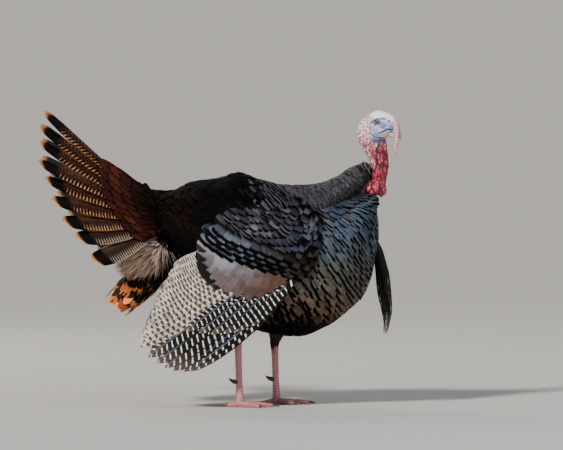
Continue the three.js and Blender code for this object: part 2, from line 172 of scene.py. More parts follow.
def frame_at(rows, t, upright=False):
    """Centres, half widths, half depths and the directions along, sideways and up, at an array of
    t on a tube's line. Upright ones stand straight up."""
    x, y, z, wide, deep = row_at(rows, t).T
    along = unit(row_at(rows, t + 0.01)[:, :3] - row_at(rows, t - 0.01)[:, :3])
    if upright:
        along = np.broadcast_to([1.0, 0, 0], along.shape)
    side = flat_to(np.broadcast_to([0.0, 1, 0], along.shape), along)
    return np.stack([x, y, z], -1), wide, deep, along, side, np.cross(along, side)


def tube(rows, sides=48, steps=48, inset=0.0, upright=False):
    """Rings of points: centre + (width - inset) cos(a) sideways + (depth - inset) sin(a) upwards.
    Rows are x, y, z, half width, half depth."""
    t = np.linspace(0, 1, steps + 1)
    centre, wide, deep, along, side, up = frame_at(rows, t, upright)
    centre = centre + along * (inset * (step(-t, -0.02, 0) - step(t, 0.98, 1)))[:, None]
    a = np.linspace(0, 2 * np.pi, sides, endpoint=False)
    wide, deep = np.maximum(wide - inset, THINNEST), np.maximum(deep - inset, THINNEST)
    ring = (wide[:, None] * np.cos(a))[..., None] * side[:, None]
    ring = ring + (deep[:, None] * np.sin(a))[..., None] * up[:, None]
    return centre[:, None] + ring


def upright(rows, **options):
    """A tube from rows of x, top, bottom, half width."""
    x, top, bottom, wide = np.asarray(rows, float).T
    centre = np.stack([x, 0 * x, (top + bottom) / 2, wide, (top - bottom) / 2], -1)
    return tube(centre, upright=True, **options)


def shell(rings):
    """Points and faces of a closed surface over rings: a quad for each step of each ring, and a
    face over each end. Rings run the right-handed way round their line."""
    count, sides = rings.shape[:2]
    i, j = np.meshgrid(np.arange(count - 1), np.arange(sides), indexing="ij")
    k = (j + 1) % sides
    quads = np.stack([i * sides + j, i * sides + k, (i + 1) * sides + k, (i + 1) * sides + j], -1)
    ends = [np.arange(sides)[::-1][None], (np.arange(sides) + (count - 1) * sides)[None]]
    return rings.reshape(-1, 3), [quads.reshape(-1, 4), *ends]


def tilted(degrees):
    """The matrix of a turn about Y."""
    c, s = math.cos(math.radians(degrees)), math.sin(math.radians(degrees))
    return np.array([[c, 0, s], [0, 1, 0], [-s, 0, c]])


def lump(centre, radii, tilt=0, sides=32):
    """An egg: a tube whose rings are circles of a ball, scaled, then tilted about Y."""
    a = np.linspace(-np.pi / 2 + 0.05, np.pi / 2 - 0.05, sides // 2)
    b = np.linspace(0, 2 * np.pi, sides, endpoint=False)
    ball = np.stack(
        [
            np.sin(a)[:, None] + 0 * b,
            np.cos(a)[:, None] * np.cos(b),
            np.cos(a)[:, None] * np.sin(b),
        ],
        -1,
    ) * np.asarray(radii, float)
    return ball @ tilted(tilt).T + np.asarray(centre, float)


# %% Make a mesh, and hand it to the bird


def set_colours(layer, colours):
    """Writes an array of colours into a mesh's layer, each with an alpha of 1."""
    rgba = np.c_[colours, np.ones(len(colours))]
    layer.data.foreach_set("color", rgba.astype(np.float32).ravel())


def points_of(mesh):
    """The points of a mesh in millimetres."""
    points = np.empty(len(mesh.vertices) * 3, np.float32)
    mesh.vertices.foreach_get("co", points)
    return points.reshape(-1, 3) / MM


def worked_out(piece):
    """A new mesh of an object as its modifiers shape it."""
    graph = bpy.context.evaluated_depsgraph_get()
    return bpy.data.meshes.new_from_object(piece.evaluated_get(graph))


CREASE = math.radians(55)


def make_mesh(name, points, faces, uv=None, colours=None, values=None):
    """A mesh object from whole arrays. points are millimetres; faces is a list of index arrays,
    each with its own number of corners; uv, colours and values are given at the points. Faces that
    meet at more than the crease keep a sharp edge, as the rim of a feather does."""
    mesh = bpy.data.meshes.new(name)
    mesh.vertices.add(len(points))
    mesh.vertices.foreach_set("co", (points * MM).astype(np.float32).ravel())
    corners = np.concatenate([f.ravel() for f in faces]).astype(np.int32)
    totals = np.concatenate([np.full(len(f), f.shape[1]) for f in faces]).astype(np.int32)
    mesh.loops.add(len(corners))
    mesh.loops.foreach_set("vertex_index", corners)
    mesh.polygons.add(len(totals))
    mesh.polygons.foreach_set("loop_start", np.r_[0, np.cumsum(totals)[:-1]].astype(np.int32))
    mesh.polygons.foreach_set("loop_total", totals)
    mesh.update(calc_edges=True)
    mesh.polygons.foreach_set("use_smooth", np.full(len(totals), True))
    mesh.set_sharp_from_angle(angle=CREASE)
    for key, at in (uv or {}).items():
        layer = mesh.uv_layers.new(name=key)
        layer.data.foreach_set("uv", at[corners].astype(np.float32).ravel())
    for key, at in (colours or {}).items():
        set_colours(mesh.color_attributes.new(key, "FLOAT_COLOR", "POINT"), at)
    for key, at in (values or {}).items():
        layer = mesh.attributes.new(key, "FLOAT", "POINT")
        layer.data.foreach_set("value", at.astype(np.float32))
    return add_object(name, mesh)


def hand_over(piece, material, slot, *nodes):
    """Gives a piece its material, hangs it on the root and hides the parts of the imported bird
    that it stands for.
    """
    piece.data.materials.clear()
    piece.data.materials.append(material)
    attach(piece, "root")
    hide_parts(*nodes)
    piece.data.calc_loop_triangles()
    print(piece.name, len(piece.data.loop_triangles), "triangles")


SIDES = ((-1, "right"), (1, "left"))


def both(name):
    """The names of a right and left pair of nodes."""
    return [f"{name}_{label}" for _, label in SIDES]


def join_shells(shells):
    """Several (points, faces) shells as one, with the faces' numbers moved on."""
    start, points, faces = 0, [], []
    for p, f in shells:
        points.append(p)
        faces += [part + start for part in f]
        start += len(p)
    return np.concatenate(points), faces


def keep_outer_wall(mesh):
    """Drops the walls of hollows shut inside a mesh. Each point takes the lowest number that it can
    reach along the edges, and the largest set of points with one number is the outer wall."""
    edges = np.empty(len(mesh.edges) * 2, np.int32)
    mesh.edges.foreach_get("vertices", edges)
    edges = edges.reshape(-1, 2)
    lowest, before = np.arange(len(mesh.vertices)), None
    while before is None or (lowest != before).any():
        before = lowest.copy()
        np.minimum.at(lowest, edges.ravel(), np.repeat(lowest[edges].min(1), 2))
        lowest = lowest[lowest]
    inner = np.flatnonzero(lowest != np.bincount(lowest).argmax())
    if len(inner):
        parts = bmesh.new()
        parts.from_mesh(mesh)
        parts.verts.ensure_lookup_table()
        bmesh.ops.delete(parts, geom=[parts.verts[k] for k in inner], context="VERTS")
        parts.to_mesh(mesh)
        parts.free()


def fuse(shells, voxel, relax=0):
    """One closed surface round closed shells: Blender's voxel remesh at a size in millimetres, then
    a few rounds of smoothing. Gives its points, its quads and its points' normals."""
    made = make_mesh("fused", *join_shells(shells))
    remesh = made.modifiers.new("remesh", "REMESH")
    remesh.mode, remesh.voxel_size = "VOXEL", voxel * MM
    if relax:
        smooth = made.modifiers.new("smooth", "SMOOTH")
        smooth.factor, smooth.iterations = 0.5, relax
    mesh = worked_out(made)
    bpy.data.objects.remove(made)
    keep_outer_wall(mesh)
    points = points_of(mesh)
    normals = np.empty(points.size, np.float32)
    quads = np.empty(len(mesh.polygons) * 4, np.int32)
    mesh.vertex_normals.foreach_get("vector", normals)
    mesh.polygons.foreach_get("vertices", quads)
    bpy.data.meshes.remove(mesh)
    return points, quads.reshape(-1, 4), normals.reshape(-1, 3)


# %% [markdown]
# ## Colours
# Colours are written the way a paint chart gives them and turned to linear light. A feather's
# metallic look has two parts: a low roughness with some metalness, and a hue that wanders from
# feather to feather, because each one lies at its own angle.

# %% Paint


def paint(code):
    """A hex colour as linear red, green and blue."""
    c = np.array([int(code[k : k + 2], 16) for k in (1, 3, 5)]) / 255
    return np.where(c <= 0.04045, c / 12.92, ((c + 0.055) / 1.055) ** 2.4)


def blend(a, b, f):
    """a where f is 0 and b where it is 1."""
    f = np.asarray(f, float)[..., None]
    return a * (1 - f) + b * f


def layered(colour, *layers):
    """A colour with others blended over it in turn, each given with its share."""
    for over, share in layers:
        colour = blend(colour, over, share)
    return colour


def feed(tree, socket, value):
    """Gives a socket what it takes: a link from another socket, a colour, or a number."""
    if isinstance(value, bpy.types.NodeSocket):
        tree.links.new(value, socket)
    else:
        socket.default_value = (*value, 1) if np.ndim(value) else value


def node(tree, kind, sockets=None, **settings):
    """A shader node with its settings and with what feeds its input sockets."""
    made = tree.nodes.new(kind)
    for key, value in settings.items():
        setattr(made, key, value)
    for key, value in (sockets or {}).items():
        feed(tree, made.inputs[key], value)
    return made


def calc(tree, operation, *values):
    """One Math node on up to three values, clamped to no range. Gives its output socket."""
    return node(tree, "ShaderNodeMath", dict(enumerate(values)), operation=operation).outputs[0]


def between(tree, value, low, high):
    """A soft step of a value from 0 at low to 1 at high, as a Map Range node."""
    sockets = {"Value": value, "From Min": low, "From Max": high}
    made = node(tree, "ShaderNodeMapRange", sockets, interpolation_type="SMOOTHSTEP")
    return made.outputs["Result"]


def mix(tree, factor, a, b):
    """A Mix node for two colours, whose sockets are numbers 6 and 7 of the node."""
    return node(tree, "ShaderNodeMix", {0: factor, 6: a, 7: b}, data_type="RGBA").outputs[2]


def new_group(name, inputs, outputs):
    """An empty shader group whose named sockets are numbers. Gives the group, its input node and
    its output node."""
    group = bpy.data.node_groups.new(name, "ShaderNodeTree")
    for direction, labels in (("INPUT", inputs), ("OUTPUT", outputs)):
        for label in labels:
            group.interface.new_socket(label, in_out=direction, socket_type="NodeSocketFloat")
    return group, group.nodes.new("NodeGroupInput"), group.nodes.new("NodeGroupOutput")


def use(tree, group, **sockets):
    """Places a node group in a material and gives its outputs."""
    return node(tree, "ShaderNodeGroup", sockets, node_tree=group).outputs


def new_material(name, colour, roughness, metallic=0.0, height=None, bump=0.3, **shader):
    """A material round one Principled shader. colour, roughness and metallic are values, or
    functions of the tree that give a socket, as height is. bump is how deep the relief is, in
    millimetres. The other words are the shader's own sockets."""
    made = bpy.data.materials.new(name)
    made.use_nodes = True
    tree = made.node_tree
    surface = tree.nodes["Principled BSDF"].inputs
    sockets = {"Base Color": colour, "Roughness": roughness, "Metallic": metallic}
    sockets |= {key.replace("_", " "): value for key, value in shader.items()}
    for key, value in sockets.items():
        feed(tree, surface[key], value(tree) if callable(value) else value)
    if height is not None:
        raised = node(tree, "ShaderNodeBump", {"Height": height(tree), "Distance": bump * MM})
        feed(tree, surface["Normal"], raised.outputs[0])
    return made


floor.data.materials.append(new_material("floor paint", paint("#c6c4c0"), 0.8))

# %% Shared effects: where on a feather, its barbs, and soft mottling
BARB_STRIPES, BARB_SLANT = 260.0, -0.22

spot, _, spot_out = new_group("place on feather", [], ["across", "along", "barbs"])
feather_map = node(spot, "ShaderNodeUVMap", uv_map="Feather").outputs[0]
split = node(spot, "ShaderNodeSeparateXYZ", {0: feather_map})
across = calc(spot, "MULTIPLY_ADD", split.outputs[0], 2.0, -1.0)
# Barbs run out from the shaft and forwards, so their stripes count along minus a share of across.
slant = calc(spot, "MULTIPLY_ADD", calc(spot, "ABSOLUTE", across), BARB_SLANT, split.outputs[1])
stripes = calc(spot, "SINE", calc(spot, "MULTIPLY", slant, BARB_STRIPES))
barbs = calc(spot, "MULTIPLY_ADD", stripes, 0.5, 0.5)
for label, socket in (("across", across), ("along", split.outputs[1]), ("barbs", barbs)):
    feed(spot, spot_out.inputs[label], socket)

mottle, mottle_in, mottle_out = new_group("mottling", ["size", "detail"], ["value"])
sockets = {
    "Vector": node(mottle, "ShaderNodeTexCoord").outputs["Object"],
    "Scale": calc(mottle, "DIVIDE", 1 / MM, mottle_in.outputs["size"]),
    "Detail": mottle_in.outputs["detail"],
}
noise = node(mottle, "ShaderNodeTexNoise", sockets)
feed(mottle, mottle_out.inputs["value"], noise.outputs[0])


def cloud(tree, size, detail=3.0):
    """Soft mottling from 0 to 1 with patches of a size in millimetres."""
    return use(tree, mottle, size=size, detail=detail)["value"]


def tint(tree):
    """The colour that was worked out for each point of the piece."""
    return node(tree, "ShaderNodeVertexColor", layer_name="tint").outputs[0]


def value(tree, name):
    """A number that was worked out for each point of the piece."""
    return node(tree, "ShaderNodeAttribute", attribute_name=name).outputs["Fac"]


def mottled(size, detail, share, spots, ground=tint):
    """The colour of a finish: mottling lays a share of the spots' colour on the ground."""

    def colour(tree):
        factor = calc(tree, "MULTIPLY", cloud(tree, size, detail), share)
        return mix(tree, factor, ground(tree) if callable(ground) else ground, spots)

    return colour


print(len(bpy.data.node_groups), "shared effects")

# %% [markdown]
# ## The forms of the bird
# These are the forms of trunk, back, neck and head, as rows along their lines. The plumage fills
# the space between the skin and the outline, so the skin lies a coat's depth inside them.

# %% Tables of the forms, in millimetres
HEAD_VOXEL, BODY_VOXEL, LEG_VOXEL = 1.0, 5.2, 1.3  # how fine each part of the skin is fused

# Rows of x, top, bottom and half width, for trunk, saddle and head.
TRUNK = [
    [-160, 512, 412, 55],
    [-114, 535, 362, 98],
    [-52, 553, 288, 130],
    [23, 562, 222, 150],
    [98, 565, 187, 160],
    [173, 560, 175, 163],
    [236, 550, 182, 152],
    [286, 536, 207, 140],
    [328, 534, 241, 122],
    [361, 541, 280, 95],
    [381, 536, 330, 62],
    [390, 500, 385, 34],
    [394, 466, 414, 10],
]
SADDLE = [
    [-176, 553, 440, 48],
    [-120, 553, 400, 89],
    [-60, 574, 360, 125],
    [0, 583, 340, 146],
    [53, 592, 350, 152],
    [98, 580, 380, 152],
    [138, 570, 420, 146],
    [170, 559, 440, 134],
    [198, 538, 460, 110],
]
# Rows of x, y, z, half width and half depth, for everything else.
HOOD = [
    [198, 0, 485, 122, 75],
    [238, 0, 502, 104, 62],
    [278, 0, 525, 82, 46],
    [313, 0, 547, 63, 40],
    [343, 0, 572, 48, 35],
    [364, 0, 588, 33, 28],
    [374, 0, 593, 26, 22],
    [381, 0, 596, 15, 13],
]
NECK = [
    [388, 0, 535, 17, 17],
    [394, 0, 565, 19, 19],
    [397, 0, 595, 20, 22],
    [394, 0, 620, 20, 24],
    [388, 0, 645, 21, 28],
    [383, 0, 668, 20, 28],
]
HEAD = [
    [-41, -4, -26, 7],
    [-35, 12, -40, 15],
    [-22, 27, -52, 20],
    [-7, 37, -55, 23],
    [10, 44, -43, 23],
    [27, 41, -29, 21],
    [40, 36, -18, 16],
    [50, 28, -5, 11],
    [55, 19, 5, 5],
]
THIGH = {
    -1: [[50, 0, 262, 46, 52], [24, 0, 218, 32, 36], [4, 0, 188, 19, 21], [-4, 0, 170, 13, 13]],
    1: [[22, 0, 258, 46, 52], [8, 0, 204, 30, 32], [-1, 0, 166, 17, 18], [-3, 0, 140, 11, 12]],
}
FOOT_X = {-1: 47, 1: 138}
STANCE = 66  # half of the distance between the feet
COAT = {"trunk": 8, "saddle": 13, "hood": 5, "thigh": 5}
FLUFF = {"centre": (-176, 0, 384), "radii": (62, 112, 46), "tilt": -38}


def at_leg(rows, side):
    """A leg's rows, which are measured from its foot, moved to that foot."""
    return np.asarray(rows, float) + [FOOT_X[side], side * STANCE, 0, 0, 0]


# The wing is a curved sheet: out = reach(x) times a rounding over the back.
WING_OUT, WING_PULL, WING_MIDDLE, WING_REACH = 168, 14, 60, 185
WING_TURN_IN, BACK_ROUND = 375, 190


def wing_side(x, z):
    """How far the sheet of the right wing stands from the middle plane."""
    out = WING_OUT - WING_PULL * ((x - WING_MIDDLE) / WING_REACH) ** 2
    above = np.maximum(z - WING_TURN_IN, 0) / BACK_ROUND
    return out * np.sqrt(np.maximum(1 - above**2, 0.05))


def on_wing(x, z, lift):
    """A point of the right wing's sheet, lifted off it sideways."""
    return np.stack([x, -wing_side(x, z) - lift, z], -1)


def wing_normal(x, z):
    """The sheet's outward normal: (-dg/dx, -1, -dg/dz) for a side distance g(x, z)."""
    gx = (wing_side(x + 1, z) - wing_side(x - 1, z)) / 2
    gz = (wing_side(x, z + 1) - wing_side(x, z - 1)) / 2
    return unit(np.stack([-gx, -np.ones_like(gx), -gz], -1))


def inside(outline, x, z):
    """True where a point lies within a closed outline: a line from it crosses an odd number of
    edges."""
    a, b = np.asarray(outline, float), np.roll(outline, -1, axis=0).astype(float)
    x, z = np.asarray(x)[..., None], np.asarray(z)[..., None]
    spans = (a[:, 1] > z) != (b[:, 1] > z)
    rise = np.where(b[:, 1] == a[:, 1], 1e-9, b[:, 1] - a[:, 1])
    cross = a[:, 0] + (z - a[:, 1]) / rise * (b[:, 0] - a[:, 0])
    return (spans & (x < cross)).sum(-1) % 2 == 1


SHOULDER_EDGE = [
    [270, 470], [236, 500], [158, 540], [95, 530], [30, 496], [-26, 452], [-30, 428], [13, 404],
    [95, 368], [180, 344], [205, 356], [240, 400],
]


def plate(outline, low, high, cell=6.0):
    """A thick curved plate on the wing sheet under an outline, as a grid whose sides are pulled in
    to the outline: each column of the grid runs from the outline's lower edge to its upper edge."""
    edge = np.asarray(outline, float)
    x = np.linspace(edge[:, 0].min() + 3, edge[:, 0].max() - 3, 40)
    z = np.linspace(edge[:, 1].min(), edge[:, 1].max(), 200)
    hit = inside(outline, x[:, None] + 0 * z, z[None] + 0 * x[:, None])
    bottom = np.array([z[h].min() for h in hit]) + cell
    top = np.maximum(np.array([z[h].max() for h in hit]) - cell, bottom + 1)
    f = np.linspace(0, 1, 24)
    zz = bottom[:, None] + (top - bottom)[:, None] * f
    xx = x[:, None] + 0 * f
    return np.concatenate([on_wing(xx, zz, low), on_wing(xx, zz, high)[:, ::-1]], 1)


print("forms ready")

# %% [markdown]
# ## Head
# A tom's head is bare. White skin covers the crown, pale blue the face, and red warts, called
# caruncles, the nape and neck. The warts are made by cell noise: space is filled with scattered
# seeds, and each point is raised by how near it is to its own seed, which gives round bumps with
# sharp creases between them.

# %% Head frame and cell noise
HEAD_TURN = math.radians(-15)
HEAD_CENTRE = np.array([383.0, 0, 695])
c, s = math.cos(HEAD_TURN), math.sin(HEAD_TURN)
HEAD_SPIN = np.array([[c, -s, 0], [s, c, 0], [0, 0, 1]])


def on_head(points):
    """Points measured from the head's centre, turned and put where the head is."""
    return points @ HEAD_SPIN.T + HEAD_CENTRE


def from_head(points):
    """The other way round: points of the bird as the head measures them."""
    return (points - HEAD_CENTRE) @ HEAD_SPIN


CUBE_PRIMES = np.array([374761393, 668265263, 2147483647])  # they turn a cube's place into a number


def cells(points, size, seed):
    """Distances to the nearest and second nearest of one jittered seed in each cube of a grid, as
    shares of the cube's side. The jitter is a number mixed from the cube's own place."""
    p = points / size
    base = np.floor(p).astype(np.int64)
    best = np.full((2, len(p)), 9.0)
    for shift in np.ndindex(3, 3, 3):
        cube = base + np.array(shift) - 1
        mixed = (cube * CUBE_PRIMES).sum(1) + seed * 97
        parts = []
        for k in range(3):
            mixed = (mixed ^ (mixed >> 13)) * 1274126177 + k
            parts.append((mixed & 0xFFFF) / 65535.0)
        gap = np.linalg.norm(cube + 0.15 + 0.7 * np.stack(parts, -1) - p, axis=1)
        best[1] = np.minimum(best[1], np.maximum(best[0], gap))
        best[0] = np.minimum(best[0], gap)
    return best


BILL_UPPER = [
    [30, 0, 16, 11, 13],
    [43, 0, 12, 10, 11],
    [55, 0, 2, 8, 8.5],
    [65, 0, -12, 5, 6],
    [70, 0, -31, 1.2, 1.5],
]
BILL_LOWER = [
    [25, 0, -7, 9, 8],
    [38, 0, -13, 8, 7],
    [50, 0, -19, 6, 4.5],
    [60, 0, -25, 2.5, 1.6],
]
SNOOD = [
    [36, 0, 25, 9, 8],
    [48, -2, 22, 9, 8],
    [58, -8, 10, 8.5, 8],
    [62, -13, -8, 7.5, 7.5],
    [62, -15, -28, 6.3, 6.3],
    [60, -16, -50, 5, 5],
    [59, -16, -65, 2.5, 2.5],
]
SIDE_LOBE = {"centre": (381, 12, 543), "radii": (15.5, 12, 14.5)}
FRONT_LOBE = {"centre": (402, 0, 541), "radii": (10.5, 10.5, 17.5)}
NECK_FOOT = {"centre": (360, 0, 556), "radii": (26, 17, 26)}
LOBE_ROOT = {"centre": (388, 0, 540), "radii": (17, 17, 13)}

head_forms = [
    shell(on_head(upright(HEAD, sides=64, steps=64))),
    shell(tube(NECK, sides=48, steps=60)),
    shell(on_head(tube(SNOOD, sides=24, steps=60))),
    *(shell(lump(**form)) for form in (FRONT_LOBE, NECK_FOOT, LOBE_ROOT)),
]
for side, _ in SIDES:
    x, y, z = SIDE_LOBE["centre"]
    head_forms.append(shell(lump((x, side * y, z), SIDE_LOBE["radii"])))
head_points, head_quads, head_normals = fuse(head_forms, HEAD_VOXEL, relax=5)
print("head", len(head_quads), "quads")

# %% Sculpt the head: sockets, lids, brow, ears, folds and caruncles
EYE = {"x": 15.0, "y": 15.4, "z": 14.0, "radius": 5.9}


def near_line(points, line, width):
    """1 on a broken line drawn on the head's side as it is seen from there, fading over a width."""
    gap = np.full(len(points), 99.0)
    for a, b in zip(np.array(line[:-1], float), np.array(line[1:], float)):
        f = np.clip(((points - a) @ (b - a)) / ((b - a) @ (b - a)), 0, 1)[:, None]
        gap = np.minimum(gap, np.linalg.norm(points - a - f * (b - a), axis=1))
    return 1 - step(gap, width * 0.4, width)


def near_spot(points, x, z, radius):
    """1 at a spot on the head's side, 0 past its radius."""
    return 1 - step(np.hypot(points[:, 0] - x, points[:, 1] - z), radius * 0.45, radius)


q = from_head(head_points)
flank = q[:, [0, 2]]
snood_line = on_head(row_at(SNOOD, np.linspace(0.12, 1, 60))[:, :3])
to_snood = np.linalg.norm(head_points[:, None] - snood_line[None], axis=2)
snood_along = to_snood.argmin(1) / 59
is_snood = step(-to_snood.min(1), -9.6, -8.4) * step(snood_along, 0.04, 0.16)
is_wattle = step(-head_points[:, 2], -568, -557)
is_neck = step(-head_points[:, 2], -664, -650)
is_nape = step(-q[:, 0] - 0.1 * q[:, 2], 0, 8)
caruncled = np.maximum(is_neck, is_nape) * (1 - is_snood)
is_face = (1 - caruncled) * (1 - is_snood)

eye_gap = np.hypot((q[:, 0] - EYE["x"]) / 5.6, (q[:, 2] - EYE["z"]) / 4.4)
on_side = step(np.abs(q[:, 1]), 6, 10) * (1 - is_snood)
socket = (1 - step(eye_gap, 0.72, 1.0)) * on_side
lid = hump(eye_gap, 1.26, 0.26) * on_side
crease = hump(eye_gap, 1.7, 0.16) * on_side
brow_line = near_line(flank, [(-3, 13), (5, 18.5), (14, 23.5), (24, 24.5), (34, 23)], 3.3) * on_side
gape = near_line(flank, [(21, -13), (29, -9.5), (38, -4), (46, -4), (53, -8)], 2.7) * on_side
jaw_line = near_line(flank, [(-4, -8), (-1, -16), (7, -24), (24, -25), (34, -24)], 2.6) * on_side
ear_gap = np.hypot((q[:, 0] + 5) / 3.2, (q[:, 2] + 1) / 4.4)
ear = (1 - step(ear_gap, 0.5, 1.1)) * on_side
nostril = near_spot(flank, 43, 18, 4.2) * on_side
cheek = near_spot(flank, 8, -8, 14) * on_side
bag = near_line(flank, [(9, 7), (15, 5.5), (22, 9)], 2.4) * on_side
behind_eye = near_line(flank, [(9, 21), (6, 16), (6.5, 10), (10, 6)], 2.8) * on_side
throat = near_line(flank, [(20, -34), (15, -52), (12, -75), (13, -100)], 5) * on_side
throat = np.maximum(throat, near_line(flank, [(38, -28), (33, -45), (24, -62)], 4) * on_side)

# Down the neck the warts stretch into folds, so the grid of seeds is stretched there.
FOLDS_BELOW, FOLD_STRETCH = 662, 0.55
stretched = head_points.copy()
below = stretched[:, 2] < FOLDS_BELOW
stretched[below, 2] = FOLDS_BELOW + FOLD_STRETCH * (stretched[below, 2] - FOLDS_BELOW)


def dome(distance, radius):
    """Round bumps: 1 over a seed, falling as a half circle to 0 at the radius."""
    return np.sqrt(np.clip(1 - (distance / radius) ** 2, 0, 1))


warts, small_warts = cells(stretched, 8.5, 1), cells(head_points, 3.4, 2)
wart, small_wart = dome(warts[0], 0.62), dome(small_warts[0], 0.62)
# Where the warts meet, for painted shade in the furrows between them.
painted_furrow_shade = 1 - step(warts[1] - warts[0], 0.0, 0.16)
lobes = cells(stretched, 14.0, 5)
lobe = dome(lobes[0], 0.75)
fold = 1 - step(lobes[1] - lobes[0], 0.0, 0.2)
wrinkle = step(small_warts[1] - small_warts[0], 0.0, 0.2) - 1
rings = np.sin(snood_along * 2 * np.pi * 16)

raised = -4.4 * socket + 1.3 * lid - 0.9 * crease - 1.5 * brow_line - 2.4 * ear - 2.4 * nostril
raised += 1.4 * cheek + 0.9 * bag - 1.9 * gape - 1.6 * jaw_line - 1.6 * throat
raised += caruncled * (2.3 * wart + 0.8 * small_wart - 1.2) * (1 - is_wattle)
raised += is_wattle * (3.4 * lobe + 0.3 * small_wart - 2.0 * fold - 0.8)
raised += is_face * 0.55 * wrinkle * (1 - socket) * (1 - lid)
raised += is_snood * (0.5 * rings + 0.7 * small_wart - 0.6)
head_points = head_points + head_normals * raised[:, None]

# %% Colour the head's skin from the same masks
white, pale_blue, sky_blue = paint("#f4f6fa"), paint("#7f9ae2"), paint("#3468c2")
red, crimson, pink = paint("#b92542"), paint("#6e0a22"), paint("#e49aa8")
ink, plum, cream = paint("#15161f"), paint("#4a1c2a"), paint("#d9cdb6")
crown = step(q[:, 2] + 0.2 * q[:, 0], 23, 30)
# Dark blue lines along the borders of the small warts on the lower face, where its wrinkles sink
# in.
wrinkle_lines = (1 - step(small_warts[1] - small_warts[0], 0.03, 0.14)) * step(-q[:, 2], -20, -8)
jaw = step(q[:, 0], 21, 27) * step(-q[:, 2], 8, 11) * step(q[:, 2], -26, -23)
broken = 0.78 + 0.22 * small_wart
lines = ((lid, 0.92), (brow_line, 0.95), (gape, 0.95), (jaw_line, 0.75), (nostril, 0.9))
face = layered(
    pale_blue,
    (white, 0.16 + 0.84 * crown),
    (sky_blue, 0.75 * np.maximum(near_spot(flank, 28, 6, 9), near_spot(flank, 0, -2, 9))),
    (white, 0.6 * step(small_wart, 0.55, 0.85) * step(-q[:, 2], -24, -10)),
    (white, 0.8 * np.maximum(bag, near_spot(flank, 20, -5, 6))),
    (paint("#2b3870"), 0.75 * wrinkle_lines),
    (blend(cream, pink, 0.5 * small_wart), jaw),
    (plum, step(-q[:, 2], 24, 29) * 0.85),
    *((ink, part * mask * broken) for mask, part in (*lines, (behind_eye, 0.75), (crease, 0.35))),
    (ink * 0.5, np.maximum(socket, ear)),
)

height = head_points[:, 2]
pale = blend(white, pink, step(-wart, -0.85, -0.4) * 0.85)
speckles = step(small_wart, 0.45, 0.8) * (0.5 + 0.5 * step(-height, -700, -640))
# Pink on the very tops of the warts is a painted highlight over the red skin.
raw = layered(crimson, (red, wart), (pink, step(wart, 0.9, 1.0) * 0.6))
behind = step(-(head_points[:, 0] - 385), -6, 8)
napelike = np.maximum(step(height, 640, 668), 0.75 * behind * step(height, 585, 610))
neck_paint = layered(
    raw,
    (blend(pale, red, speckles), napelike),
    # Dark plum in the furrows between the warts is painted shade.
    (plum * 0.6, 0.8 * painted_furrow_shade * (0.3 + 0.7 * step(-height, -690, -650))),
    # White on the tops of the upper neck's warts is a painted highlight.
    (white, 0.6 * step(wart, 0.88, 1.0) * step(height, 575, 630)),
    # Dark plum in the throat's grooves is painted shade in its folds.
    (plum * 0.6, 0.8 * throat),
)
head_tint = layered(
    face,
    (neck_paint, caruncled),
    # Pink on the tops of the wattle's lobes is a painted highlight.
    (blend(raw, pink, 0.35 * small_wart * lobe), is_wattle),
    # Dark crimson in the folds between the lobes is painted shade.
    (crimson * 0.5, is_wattle * fold),
    (layered(white, (pink, 0.5 + 0.4 * rings), (red, 0.7 * small_wart)), is_snood),
)
print("caruncles on", int((caruncled > 0.5).sum()), "points")

# %% [markdown]
# ## One skin
# The body's skin is fused at a coarse size, because feathers cover it. The fine head is joined to
# it by a boolean union inside the ruff of the neck, so that one closed skin carries the bird.

# %% Fuse the body and join the head
DARK_SKIN = paint("#211c1a")
TAIL_STUMP = {"centre": (-120, 0, 470), "radii": (52, 44, 30), "tilt": 40}
CORE_SHARE, CORE_SHIFT = 0.84, [17, 71]  # the wing's core is its outline made smaller and moved in
CORE_INNER, CORE_OUTER = -9, 1.5
body_forms = [
    shell(upright(TRUNK, inset=COAT["trunk"] + 1.5)),
    shell(upright(SADDLE, inset=COAT["saddle"] + 1.5)),
    shell(tube(HOOD, inset=COAT["hood"] + 0.5)),
    shell(lump(FLUFF["centre"], np.array(FLUFF["radii"]) - 26, FLUFF["tilt"])),
    shell(lump(**TAIL_STUMP)),
]
core_edge = np.array(SHOULDER_EDGE) * CORE_SHARE + CORE_SHIFT
wing_core = plate(core_edge, CORE_INNER, CORE_OUTER)
for side, _ in SIDES:
    body_forms.append(shell(tube(at_leg(THIGH[side], side), inset=COAT["thigh"])))
    body_forms.append(shell(wing_core if side < 0 else wing_core[:, ::-1] * [1, -1, 1]))
body_points, body_quads, _ = fuse(body_forms, BODY_VOXEL, relax=2)
print("body", len(body_quads), "quads")

head_piece = make_mesh("head part", head_points, [head_quads])
skin = make_mesh("skin", body_points, [body_quads])
union = skin.modifiers.new("union", "BOOLEAN")
union.operation, union.solver, union.object = "UNION", "MANIFOLD", head_piece
one_skin = worked_out(skin)
one_skin.name = "skin"
keep_outer_wall(one_skin)
skin.modifiers.clear()
skin.data = one_skin
bpy.data.objects.remove(head_piece)
one_skin.polygons.foreach_set("use_smooth", np.full(len(one_skin.polygons), True))


def nearest_of(points, places):
    """The number of the nearest of some points to each place, and its distance."""
    tree = KDTree(len(points))
    for index, point in enumerate(points.tolist()):
        tree.insert(point, index)
    tree.balance()
    found = [tree.find(place)[1:] for place in places.tolist()]
    return [np.array(part) for part in zip(*found)]


